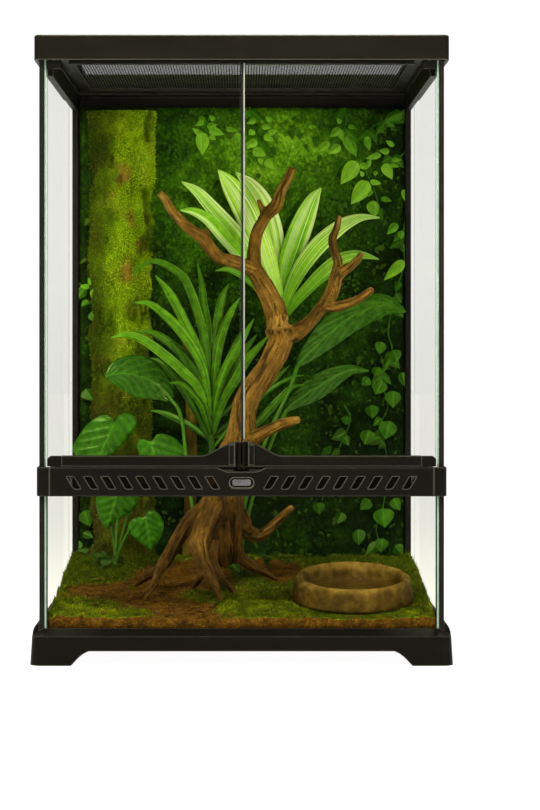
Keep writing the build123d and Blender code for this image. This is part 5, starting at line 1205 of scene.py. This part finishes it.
HEARTS = [
    (92, [(-126.6, 129.5), (-138.4, 141.4), (-142.6, 149.8), (-137.6, 159.9), (-129.1, 171.0), (-117.1, 178.0), (-109.7, 175.6), (-107.5, 171.6), (-103.8, 176.8), (-97.9, 179.4), (-91.3, 177.5), (-88.6, 171.0), (-93.5, 161.4), (-102.1, 151.5), (-113.9, 140.5)]),
    (80, [(-64.5, 118.4), (-78.8, 133.5), (-86.4, 147.0), (-87.6, 155.9), (-82.2, 157.9), (-75.8, 156.2), (-70.4, 162.3), (-59.7, 160.8), (-50.3, 153.3), (-44.7, 143.6), (-47.7, 133.5), (-56.1, 124.3)]),
    (76, [(-113.6, 82.5), (-119.3, 93.5), (-121.8, 104.4), (-120.6, 114.5), (-113.9, 121.2), (-106.3, 121.2), (-102.1, 117.8), (-96.3, 122.0), (-88.7, 118.7), (-85.8, 111.1), (-91.7, 98.2), (-101.8, 91.4)]),
    (66, [(-75.1, 64.8), (-85.8, 73.4), (-93.3, 80.9), (-94.5, 85.9), (-92.4, 90.5), (-85.1, 93.8), (-80.8, 93.2), (-77.9, 98.9), (-72.4, 98.6), (-67.8, 95.1), (-64.7, 86.6), (-67.8, 75.4)]),
]


def vertex_normals(V, F):
    """Normals of a quad mesh at its points."""
    n = np.cross(V[F[:, 2]] - V[F[:, 0]], V[F[:, 3]] - V[F[:, 1]])
    out = np.zeros_like(V)
    for c in range(4):
        for k in range(3):
            out[:, k] += np.bincount(F[:, c], n[:, k], minlength=len(V))
    return unit(out)


def one_skin(V, F, voxel, soft):
    """A single smooth skin round overlapping closed tubes."""
    o = bpy.data.objects.new("skin_source", mesh_data("skin_source", V, F))
    bpy.context.scene.collection.objects.link(o)
    r = o.modifiers.new("skin", "REMESH")
    r.mode = "VOXEL"
    r.voxel_size = voxel * MM
    s = o.modifiers.new("soft", "SMOOTH")
    s.factor = 0.5
    s.iterations = soft
    done = o.evaluated_get(bpy.context.evaluated_depsgraph_get())
    me = done.to_mesh()
    co = np.empty(len(me.vertices) * 3, np.float32)
    me.vertices.foreach_get("co", co)
    ix = np.empty(len(me.loops), np.int32)
    me.loops.foreach_get("vertex_index", ix)
    done.to_mesh_clear()
    source = o.data
    bpy.data.objects.remove(o)
    bpy.data.meshes.remove(source)
    return co.reshape(-1, 3).astype(float) / MM, ix.reshape(-1, 4)


limbs = Heap()
lines = []
for pts in LIMBS.values():
    reach = np.linalg.norm(np.diff(np.array(pts)[:, :3], axis=0), axis=1).sum()
    tube(limbs, pts, 1, sides=18, n=max(10, int(reach / 3)))
    C = spline(pts, max(8, int(reach / 2)))
    T, A, B = carried_frames(C)
    u = np.r_[0, np.cumsum(np.linalg.norm(np.diff(C[:, :3], axis=0), axis=1))]
    lines.append((C[:, :3], C[:, 3], T, A, B, u))
V, F, _ = limbs.done()
V, F = one_skin(V, F, 1.0, 5)
N = vertex_normals(V, F)
gaps = np.full((len(lines), len(V)), 1e9)
local = np.zeros((len(lines), len(V), 3))
ends = np.zeros((len(lines), len(V)))
girth = np.zeros((len(lines), len(V)))
for k, (C, rad, T, A, B, u) in enumerate(lines):
    near = np.where((V > C.min(0) - 26).all(1) & (V < C.max(0) + 26).all(1))[0]
    for part in np.array_split(near, max(1, len(near) // 20000)):
        d = V[part][:, None, :] - C[None]
        i = np.argmin(np.linalg.norm(d, axis=2) - rad[None], axis=1)
        v = V[part] - C[i]
        along = u[i] + np.sum(v * T[i], axis=1)
        ca, cb = np.sum(v * A[i], axis=1), np.sum(v * B[i], axis=1)
        turn = along * 0.007 + k
        gaps[k, part] = np.linalg.norm(v, axis=1) - rad[i]
        local[k, part] = np.c_[ca * np.cos(turn) - cb * np.sin(turn), ca * np.sin(turn) + cb * np.cos(turn), along + 37 * k]
        ends[k, part] = np.exp(-(u[-1] - along) / 14.0)
        girth[k, part] = rad[i]
order = np.argsort(gaps, axis=0)[:2]
cols = np.arange(len(V))
w = np.exp(-(gaps[order[0], cols] - gaps[order[1], cols]) / 2.0)
w0 = 1 / (1 + np.exp(np.clip((gaps[order[0], cols] - gaps[order[1], cols]) / 1.6, -40, 0)))


def along_grain(q):
    """Creases and ridges that run lengthwise, from position round the limb and along it."""
    s = q * (0.21, 0.21, 0.017)
    broad = fbm(s * 0.55, 2, 61)
    v = fbm(s, 3, 62)
    fine = fbm(q * (0.42, 0.42, 0.026), 2, 63)
    crease = np.exp(-((v / 0.105) ** 2)) * step(fbm(q * (0.1, 0.1, 0.02), 2, 64), -0.35, 0.1)
    return broad, crease, np.exp(-((fine / 0.09) ** 2))


one, two = along_grain(local[order[0], cols]), along_grain(local[order[1], cols])
share = np.where(gaps[order[1], cols] > 9, 1.0, w0)
broad, crease, fine = (a_ * share + b_ * (1 - share) for a_, b_ in zip(one, two))
thick = np.clip(girth[order[0], cols] / 7.0, 0.35, 1.6)
V = V + N * (1.5 * thick * broad - 1.35 * thick * crease - 0.60 * thick * fine + 0.7 * thick * fbm(V / 9, 3, 65))[:, None]
floor_z = soil_z(V[:, 1]) - 1.5
V[:, 2] = np.maximum(V[:, 2], floor_z)
tips = (ends[order[0], cols])
# tint: painted shade darker below about 170 mm and painted light a little lighter above 180 mm; limb ends and raised
# ridges paler, with tone that varies at random
tint = np.clip(0.46 + 0.42 * fbm(V / 26, 3, 66) + 0.38 * tips + 0.12 * step(V[:, 2], 180, 330) - 0.30 * (1 - step(V[:, 2], 60, 170)) + 0.25 * broad, 0, 1)
piece("driftwood", V, F, M_WOOD, replaces="driftwood_branch", attrs={"grain": local[order[0], cols], "crease_shade": np.clip(crease * 0.95 + 0.45 * fine, 0, 1), "tint": tint})

# ================================================================ water dish
LAY = Matrix.Translation((86.0, -67.0, float(soil_z(-67.0)) + 0.25)) @ Matrix.Rotation(math.radians(4.5), 4, "X")
LAY = np.array(LAY)


def laid(P):
    return P @ LAY[:3, :3].T + LAY[:3, 3]


PROFILE = [(20, 30, 0.3), (42, 53.5, 0.1), (46.6, 58.3, 0.3), (47.6, 59.3, 2.0), (47.4, 59.1, 5.0), (46.6, 58.5, 8.0), (46.1, 58.0, 11.0), (45.3, 57.4, 13.8), (44.6, 56.9, 15.8), (43.7, 56.2, 17.3), (42.2, 54.8, 18.1), (40.4, 53.0, 18.0), (39.0, 51.6, 17.0), (38.1, 50.7, 15.0), (37.2, 49.7, 12.0), (36.3, 48.8, 9.2), (34.8, 47.2, 7.2), (31.5, 43.6, 5.7), (24, 35, 4.9), (12, 18, 4.7), (0.6, 0.9, 4.7)]
prof = spline(PROFILE, 90)
na = 360
th = np.arange(na) * 2 * math.pi / na
P = np.stack([prof[:, None, 0] * np.cos(th), prof[:, None, 1] * np.sin(th), prof[:, None, 2] + 0 * th], -1)
flat = P.reshape(-1, 3)
out = unit(np.c_[flat[:, 0], flat[:, 1], (flat[:, 2] - 8) * 2.5])
ring = np.c_[np.cos(np.tile(th, len(prof))) * 12, np.sin(np.tile(th, len(prof))) * 12, flat[:, 2] * 0.35]
chip = fbm(ring, 3, 81)
d = 0.9 * chip + 0.8 * fbm(flat / 9, 3, 82) + 0.35 * fbm(flat / 3, 2, 83)
d = d * step(flat[:, 2], 0.2, 2.5) * np.where(flat[:, 0] ** 2 / 35 ** 2 + flat[:, 1] ** 2 / 47 ** 2 < 1, 0.35, 1.0)
flat = flat + out * (d - 0.4)[:, None]
flat[:, 2] *= 1 + 0.075 * (1 + np.sin(np.tile(th, len(prof))))
F = grid_faces(len(prof), na, closed=True, flip=True)
cap0 = np.stack([np.arange(na), np.roll(np.arange(na), -1), np.full(na, len(flat))], 1)
base_i = (len(prof) - 1) * na
cap1 = np.stack([np.roll(np.arange(na), -1) + base_i, np.arange(na) + base_i, np.full(na, len(flat) + 1)], 1)
flat = np.concatenate([flat, [[0, 0, 0.3], [0, 0, 4.7]]])
# lighter towards the rim top: painted light on the rim; chip adds tone that varies at random
tint = np.clip(0.45 + 0.5 * step(flat[:, 2], 12.5, 18) + 0.35 * np.r_[chip, 0, 0], 0, 1)
piece("dish_rock", laid(flat), [F, cap0, cap1], M_ROCK, body="dish", replaces="water_dish", attrs={"tint": tint})

s = np.linspace(0, 1, 22)
na = 140
th = np.arange(na) * 2 * math.pi / na
edge = 1 + 0.012 * np.sin(th * 5) + 0.010 * np.sin(th * 11 + 1)
surf = np.stack([s[:, None] * 37.6 * edge * np.cos(th), s[:, None] * 50.2 * edge * np.sin(th), 0 * s[:, None] * th], -1)
top = laid(surf.reshape(-1, 3) + (0, 0, 13.0)).reshape(surf.shape)
top[..., 2] = 51.0 + 0.75 * (s[:, None] ** 20)
low = surf.copy()
low[..., 2] = 5.4 + 6.4 * (s[:, None] ** 5)
low[..., :2] *= 0.95
low = laid(low.reshape(-1, 3)).reshape(surf.shape)
low[..., 2] = np.minimum(low[..., 2], top[..., 2] - 0.3)
V = np.concatenate([top[1:].reshape(-1, 3), low[1:].reshape(-1, 3), top[0].mean(0)[None], low[0].mean(0)[None]])
k = (len(s) - 1) * na
f = grid_faces(len(s) - 1, na, closed=True)
i, j = np.arange(na), np.roll(np.arange(na), -1)
rim = np.stack([k - na + i, k - na + j, 2 * k - na + j, 2 * k - na + i], 1)[:, ::-1]
piece("dish_water_surface", V, [np.concatenate([f[:, ::-1], f + k, rim[:, ::-1]]), np.concatenate([np.stack([j, i, np.full(na, 2 * k)], 1)[:, ::-1], np.stack([k + i, k + j, np.full(na, 2 * k + 1)], 1)[:, ::-1]])], M_WATER, body="dish", replaces="dish_water")

# ================================================================ plants
drac = Heap()
DRAC_TINT = [0.78, 0.62, 0.55, 0.52, 0.60, 0.74, 0.58, 0.80, 0.50, 0.66, 0.50, 0.70, 0.46, 0.42]
for k, pts in enumerate(DRACAENA):
    blade(drac, pts, n_len=64, n_wid=11, keel=0.42, thick=0.45, ripple=0.25, twist=R.uniform(-14, 14), widen=0.80, tint=DRAC_TINT[k])
for k in range(9):
    az = R.uniform(-0.15, math.pi * 1.15)
    reach, rise = R.uniform(42, 82), R.uniform(18, 96)
    b = np.array([-25 + R.normal(0, 0.8), 56 + R.normal(0, 0.8), R.uniform(150, 172)])
    dx, dy = math.cos(az) * reach, math.sin(az) * reach * 0.42 - 6
    w = R.uniform(2.0, 3.6)
    pts = [(*(b + (dx * t, dy * t, rise * (1.55 * t - 0.62 * t * t) * (1.0 if t < 0.99 else 0.97))), w * a_) for t, a_ in ((1.0, 0.12), (0.86, 0.55), (0.66, 0.9), (0.42, 1.0), (0.2, 0.85), (0.0, 0.6))]
    blade(drac, pts, n_len=46, n_wid=7, keel=0.45, thick=0.4, ripple=0.2, twist=R.uniform(-20, 20), tint=R.uniform(0.12, 0.36))
V, F, A = drac.done()
V[:, 1] = np.minimum(V[:, 1], 122)
piece("dracaena_leaves", V, F, M_DRAC, replaces="dracaena_plant", attrs=A)
stem = Heap()
zs = np.linspace(38, 178, 60)
tube(stem, np.c_[np.interp(zs, [40, 176], [-24, -25]) + 0.6 * np.sin(zs / 17), np.interp(zs, [40, 176], [54, 56]), zs, 2.7 + 0.35 * np.abs(np.sin(zs / 2.1)) - 0.003 * (zs - 40)], 4, sides=20, n=150, tint=0.0)
V, F, A = stem.done()
piece("dracaena_stem", V, F, M_STEM, attrs=A)

striped = Heap()
STRIPED_LOOK = [(1.42, 1.0), (1.36, 0.92), (1.18, 0.74), (1.12, 0.62), (1.26, 0.62), (1.2, 0.74), (1.05, 0.60)]
for pts, (wide, tone) in zip(STRIPED, STRIPED_LOOK):
    blade(striped, pts, n_len=70, n_wid=15, keel=0.24, thick=0.45, ripple=0.35, twist=R.uniform(-16, 16), widen=wide, tint=tone, curl=-0.05)
for pts, wide, tone in (
    ([(2, 118, 352, 0.4), (12, 118, 335, 3.6), (22, 119, 310, 4.8), (30, 120, 284, 4.0), (35, 122, 262, 2)], 1.0, 0.35),
    ([(48, 119, 350, 0.4), (44, 119, 330, 3.6), (40, 120, 305, 4.6), (37, 121, 282, 3.6), (35.6, 122, 262, 2)], 1.0, 0.30),
    ([(92, 112, 300, 0.4), (80, 113, 300, 2.8), (66, 115, 292, 3.8), (50, 118, 277, 3.4), (37, 122, 260, 2)], 1.0, 0.28),
    ([(-22, 108, 300, 0.4), (-10, 110, 301, 2.6), (6, 113, 293, 3.8), (22, 118, 277, 3.4), (35, 122, 260, 2)], 1.0, 0.30),
    ([(30, 104, 232, 0.4), (33, 106, 240, 2.6), (36, 110, 252, 3.2), (36, 116, 262, 2.4), (36, 122, 262, 1.6)], 1.0, 0.40),
):
    blade(striped, pts, n_len=40, n_wid=9, keel=0.35, thick=0.4, ripple=0.2, twist=R.uniform(-14, 14), widen=wide, tint=tone)
V, F, A = striped.done()
V[:, 1] = np.minimum(V[:, 1], 128)
piece("striped_leaves", V, F, M_STRIPED, replaces="striped_plant", attrs=A)
crown = Heap()
tube(crown, [(35.5, 131.0, 261.0, 6.2), (35.5, 126, 261.0, 6.6), (35.4, 121, 262.0, 5.4), (35.4, 117.5, 265.0, 3.0)], 5, sides=22, n=26, rough=0.12, tint=0.1)
for k in range(26):
    a = R.uniform(0, 2 * math.pi)
    tube(crown, [(35.5 + 5.4 * math.cos(a), R.uniform(118, 127), 261 + 5.2 * math.sin(a)), (35.5 + 8.0 * math.cos(a) + R.normal(0, 2), R.uniform(120, 129), 258 + 7 * math.sin(a)), (35.5 + 10 * math.cos(a) + R.normal(0, 4), 129.5, 251 + 9 * math.sin(a) + R.normal(0, 3))], R.uniform(0.35, 0.7), sides=6, n=10, taper=0.5, tint=R.uniform(0, 0.25))
V, F, A = crown.done()
V[:, 1] = np.minimum(V[:, 1], 131.0)
piece("striped_crown", V, F, M_STEM, attrs=A)

broad = Heap()
for pts, quilt, tone, keel, bend in ((BROAD[0], 7, 0.50, 0.10, -0.12), (BROAD[1], 6, 0.32, 0.16, -0.10), (BROAD[2], 6, 0.40, 0.08, -0.14)):
    blade(broad, pts, n_len=110, n_wid=35, keel=keel, thick=0.5, ripple=0.5, quilt=quilt, widen=1.12, tint=tone, curl=bend, twist=6)
V, F, A = broad.done()
piece("broad_leaves", V, F, M_BROAD, replaces="broad_leaf_plant", attrs=A)
stem = Heap()
for pts in BROAD_STEMS:
    tube(stem, pts, 1.5, sides=12, n=60, tint=0.45)
tube(stem, [(-3, 44, 38, 5.5), (-4, 45, 50, 4.6), (-4, 46, 60, 3.0), (-4, 46, 66, 1.2)], 5, sides=22, n=30, rough=0.06, tint=0.0)
tube(stem, [(-22.9, 42, 61), (-12, 43, 56), (-4, 44, 54)], 2.2, sides=12, n=20, tint=0.3)
V, F, A = stem.done()
piece("broad_leaf_stems", V, F, M_STEM, attrs=A)


def heart(heap, outline, y, stalk_at, tone, grain=1.5, cup=0.16):
    """Heart-shaped leaf from its outline (x, z), facing the front, with raised fields between sunk veins."""
    loop = np.array(outline)
    ring = spline(np.vstack([loop, loop[:1]]), int(np.linalg.norm(np.diff(np.vstack([loop, loop[:1]]), axis=0), axis=1).sum() / grain))[:-1]
    lo, hi = ring.min(0), ring.max(0)
    gx, gz = np.meshgrid(np.arange(lo[0], hi[0], grain), np.arange(lo[1], hi[1], grain * 0.87))
    gx[1::2] += grain / 2
    pts = np.c_[gx.ravel(), gz.ravel()]
    pts = pts[inside(pts, ring) > grain * 0.55]
    allp = np.vstack([ring, pts])
    n = len(ring)
    cdt = geometry.delaunay_2d_cdt([Vector(q) for q in allp], [(i, (i + 1) % n) for i in range(n)], [], 1, 1e-5)
    P2 = np.array([tuple(v) for v in cdt[0]])
    T3 = np.array([f for f in cdt[2] if len(f) == 3])
    tip, notch = loop[0], np.array(stalk_at)
    ax = (tip - notch) / np.linalg.norm(tip - notch)
    sd = np.array([-ax[1], ax[0]])
    L = np.linalg.norm(tip - notch)
    a, b = (P2 - notch) @ ax, (P2 - notch) @ sd
    half = np.abs((ring - notch) @ sd).max()
    rimdist = np.abs(inside(P2, ring))
    q = (a - 0.75 * np.abs(b)) / (L / 5.2) + 0.3 * (b > 0)
    hill = np.abs(np.sin(np.pi * q)) ** 0.5
    fade = step(rimdist, 0, 3.0)
    rib = np.exp(-((b / 0.8) ** 2)) * step(a, -2, 2)
    wav = 0.7 * np.sin(np.arctan2(b, a - L * 0.3) * 7) * (1 - step(rimdist, 0, 5))
    yy = y + cup * np.abs(b) - 1.7 * (hill - 0.5) * fade + 0.7 * rib + wav + 1.8 * (a / L) ** 2 - 1.2
    e = np.sort(np.concatenate([T3[:, [0, 1]], T3[:, [1, 2]], T3[:, [2, 0]]]), axis=1)
    d3 = np.concatenate([T3[:, [0, 1]], T3[:, [1, 2]], T3[:, [2, 0]]])
    key = e[:, 0] * (len(P2) + 1) + e[:, 1]
    _, inv, cnt = np.unique(key, return_inverse=True, return_counts=True)
    edge = d3[cnt[inv] == 1]
    k = len(P2)
    front = np.c_[P2[:, 0], yy, P2[:, 1]]
    V = np.vstack([front, front + (0, 0.55, 0)])
    rimf = np.stack([edge[:, 1], edge[:, 0], edge[:, 0] + k, edge[:, 1] + k], 1)
    two = lambda v: np.r_[v, v]
    heap.add(V, [np.concatenate([T3, T3[:, ::-1] + k]), rimf], across=two(np.clip(b / half, -1, 1)), along=two(np.clip(1 - a / L, 0, 1)), vein=two((1 - hill) * fade), rib=two(rib), tint=tone, leaf=R.uniform(0, 50))


hearts = Heap()
for (y, outline), stalk, tone in zip(HEARTS, HEART_STEMS, (0.40, 0.46, 0.36, 0.50)):
    heart(hearts, outline, y, (stalk[0][0], stalk[0][2]), tone)
V, F, A = hearts.done()
V[:, 0] = np.maximum(V[:, 0], -144.6)
piece("heart_leaves", V, F, M_HEART, replaces="heart_leaf_plant", attrs=A)
stem = Heap()
for pts in HEART_STEMS:
    tube(stem, pts, 1.3, sides=12, n=50, tint=0.4)
tube(stem, [(-105, 80, 38, 5.6), (-105, 80, 52, 4.6), (-105, 81, 60, 2.8), (-105, 81, 65, 1.2)], 5, sides=20, n=26, rough=0.06, tint=0.0)
V, F, A = stem.done()
piece("heart_leaf_stems", V, F, M_STEM, attrs=A)


# ================================================================ door edge strips, grips and badge rim
def bar(heap, x0, x1, y0, y1, z0, z1, r=0.3, n=40):
    """Upright bar with eight-sided section: rounded edges all along."""
    r = min(r, 0.45 * (x1 - x0), 0.45 * (y1 - y0))
    sec = np.array([(x0 + r, y0), (x1 - r, y0), (x1, y0 + r), (x1, y1 - r), (x1 - r, y1), (x0 + r, y1), (x0, y1 - r), (x0, y0 + r)])
    zs = np.concatenate([[z0, z0 + r], np.linspace(z0 + r, z1 - r, n)[1:-1], [z1 - r, z1]])
    c = sec.mean(0)
    V = []
    for i, z in enumerate(zs):
        k = 1 - 0.5 * min(1.0, r / (x1 - x0)) if i in (0, len(zs) - 1) else 1.0
        V.append(np.c_[c + (sec - c) * k, np.full(8, z)])
    V = np.concatenate(V + [np.array([[*c, z0], [*c, z1]])])
    F = grid_faces(len(zs), 8, closed=True)
    i, j, t = np.arange(8), np.roll(np.arange(8), -1), (len(zs) - 1) * 8
    heap.add(V, [F, np.concatenate([np.stack([j, i, np.full(8, len(V) - 2)], 1), np.stack([t + i, t + j, np.full(8, len(V) - 1)], 1)])])


seal = Heap()
bar(seal, -0.10, 1.25, -146.6, -143.4, 166.5, 447.0, 0.15)
bar(seal, -0.62, 0.55, -147.2, -143.6, 149.0, 167.0, 0.15)
V, F, A = seal.done()
piece("right_door_seal", V, F, M_SEAL, body="right_door", replaces="right_edge_strip")
lip = Heap()
bar(lip, 1.30, 2.35, -147.5, -144.0, 167.2, 447.0, 0.25)
V, F, A = lip.done()
piece("right_door_edge_lip", V, F, M_STRIP, body="right_door")
lip = Heap()
bar(lip, -1.62, -0.60, -146.8, -143.4, 167.2, 447.0, 0.2)
V, F, A = lip.done()
piece("left_door_edge_lip", V, F, M_CLEAR, body="left_door", replaces="left_edge_strip")
for side, name in ((-1, "left"), (1, "right")):
    b = np.array(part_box(f"{name}_door_grip"), float) / MM
    g = Heap()
    lo, hi = sorted((side * 5.3, side * 9.5))
    bar(g, lo, hi, b[0][1] - 0.55, b[0][1] + 0.6, 148.4, 163.4, 0.5, 10)
    V, F, A = g.done()
    piece(f"{name}_grip_ribs", V, F, M_DOOR, body=f"{name}_door")
for side, name in ((-1, "left"), (1, "right")):
    # dark bars along the bottom of each door: painted shade for the shadowed gap under the doors
    g = Heap()
    for k in range(12):
        lo, hi = sorted((side * (0.5 + 1.3 * k), side * (0.5 + 1.3 * k + 1.25)))
        bar(g, lo, hi, -146.9, -146.0, 146.95, 149.2, 0.1, 6)
    lo, hi = sorted((side * 16.1, side * 141.4))
    bar(g, lo, hi, -146.9, -146.0, 146.95, 149.2, 0.1, 6)
    V, F, A = g.done()
    piece(f"{name}_door_gap_shade", V, F, M_SEAL, body=f"{name}_door")
rim = Heap()
b = np.array(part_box("badge_plate"), float) / MM
hw, hh, rr = 8.9, 3.7, 3.4
path = []
for cx_, cz_, a0 in ((hw - rr, hh - rr, 0.0), (-(hw - rr), hh - rr, 90.0), (-(hw - rr), -(hh - rr), 180.0), (hw - rr, -(hh - rr), 270.0)):
    for a_ in np.linspace(a0, a0 + 90, 6):
        path.append((cx_ + rr * math.cos(math.radians(a_)), cz_ + rr * math.sin(math.radians(a_))))
path.append(path[0])
c = (b[0] + b[1]) / 2
tube(rim, [(c[0] + x, -155.5, c[2] + z) for x, z in path], 0.26, sides=8, n=120)
V, F, A = rim.done()
piece("badge_rim", V, F, M_DOOR)

# ================================================================ woven meshes
def woven(x0, x1, y0, y1, pitch, r, rise):
    """Plain weave in the XY plane: wires of three sides bent over and under at each crossing."""
    nx, ny = int(round((x1 - x0) / pitch)), int(round((y1 - y0) / pitch))
    xs, ys = np.linspace(x0 + r, x1 - r, nx), np.linspace(y0 + r, y1 - r, ny)
    tri = np.array([(0.0, 1.0), (-0.87, -0.5), (0.87, -0.5)]) * r
    sign = np.where((np.arange(nx)[:, None] + np.arange(ny)[None, :]) % 2, 1.0, -1.0) * rise
    ax = np.zeros((nx, ny, 3, 3))
    ax[..., 0] = xs[:, None, None] + tri[None, None, :, 0]
    ax[..., 1] = ys[None, :, None]
    ax[..., 2] = sign[:, :, None] + tri[None, None, :, 1] - 0.10 * (rise > 0.14)
    by = np.zeros((ny, nx, 3, 3))
    by[..., 0] = xs[None, :, None]
    by[..., 1] = ys[:, None, None] + tri[None, None, :, 0]
    by[..., 2] = -sign.T[:, :, None] + tri[None, None, :, 1]
    V, F, n0 = [], [], 0
    caps = []
    for block in (ax, by):
        wires, m_ = block.shape[:2]
        f = grid_faces(m_, 3, closed=True)
        F.append((f[None] + (np.arange(wires) * m_ * 3)[:, None, None]).reshape(-1, 4) + n0)
        s0 = np.arange(wires) * m_ * 3 + n0
        caps += [np.stack([s0, s0 + 2, s0 + 1], 1), np.stack([s0 + m_ * 3 - 3, s0 + m_ * 3 - 2, s0 + m_ * 3 - 1], 1)]
        V.append(block.reshape(-1, 3))
        n0 += wires * m_ * 3
    run = np.r_[np.ones(nx * ny * 3), np.zeros(nx * ny * 3)]
    return np.concatenate(V), [np.concatenate(F), np.concatenate(caps)], {"run": run}


V, F, A = woven(-130.4, 130.4, -127.5, 104.8, 2.15, 0.19, 0.16)
piece("screen_weave", V + (0, 0, 454.4), F, M_WIRE, body="screen_cover", replaces="screen_mesh", attrs=A)
vb = np.array(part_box("vent_mesh"), float) / MM
V, F, A = woven(vb[0][0] - 1.6, vb[1][0] + 1.6, vb[0][2], vb[1][2], 0.92, 0.43, 0.12)
piece("vent_weave", np.c_[V[:, 0], (vb[0][1] + vb[1][1]) / 2 - V[:, 2], V[:, 1]], F, M_MESH, replaces="vent_mesh")
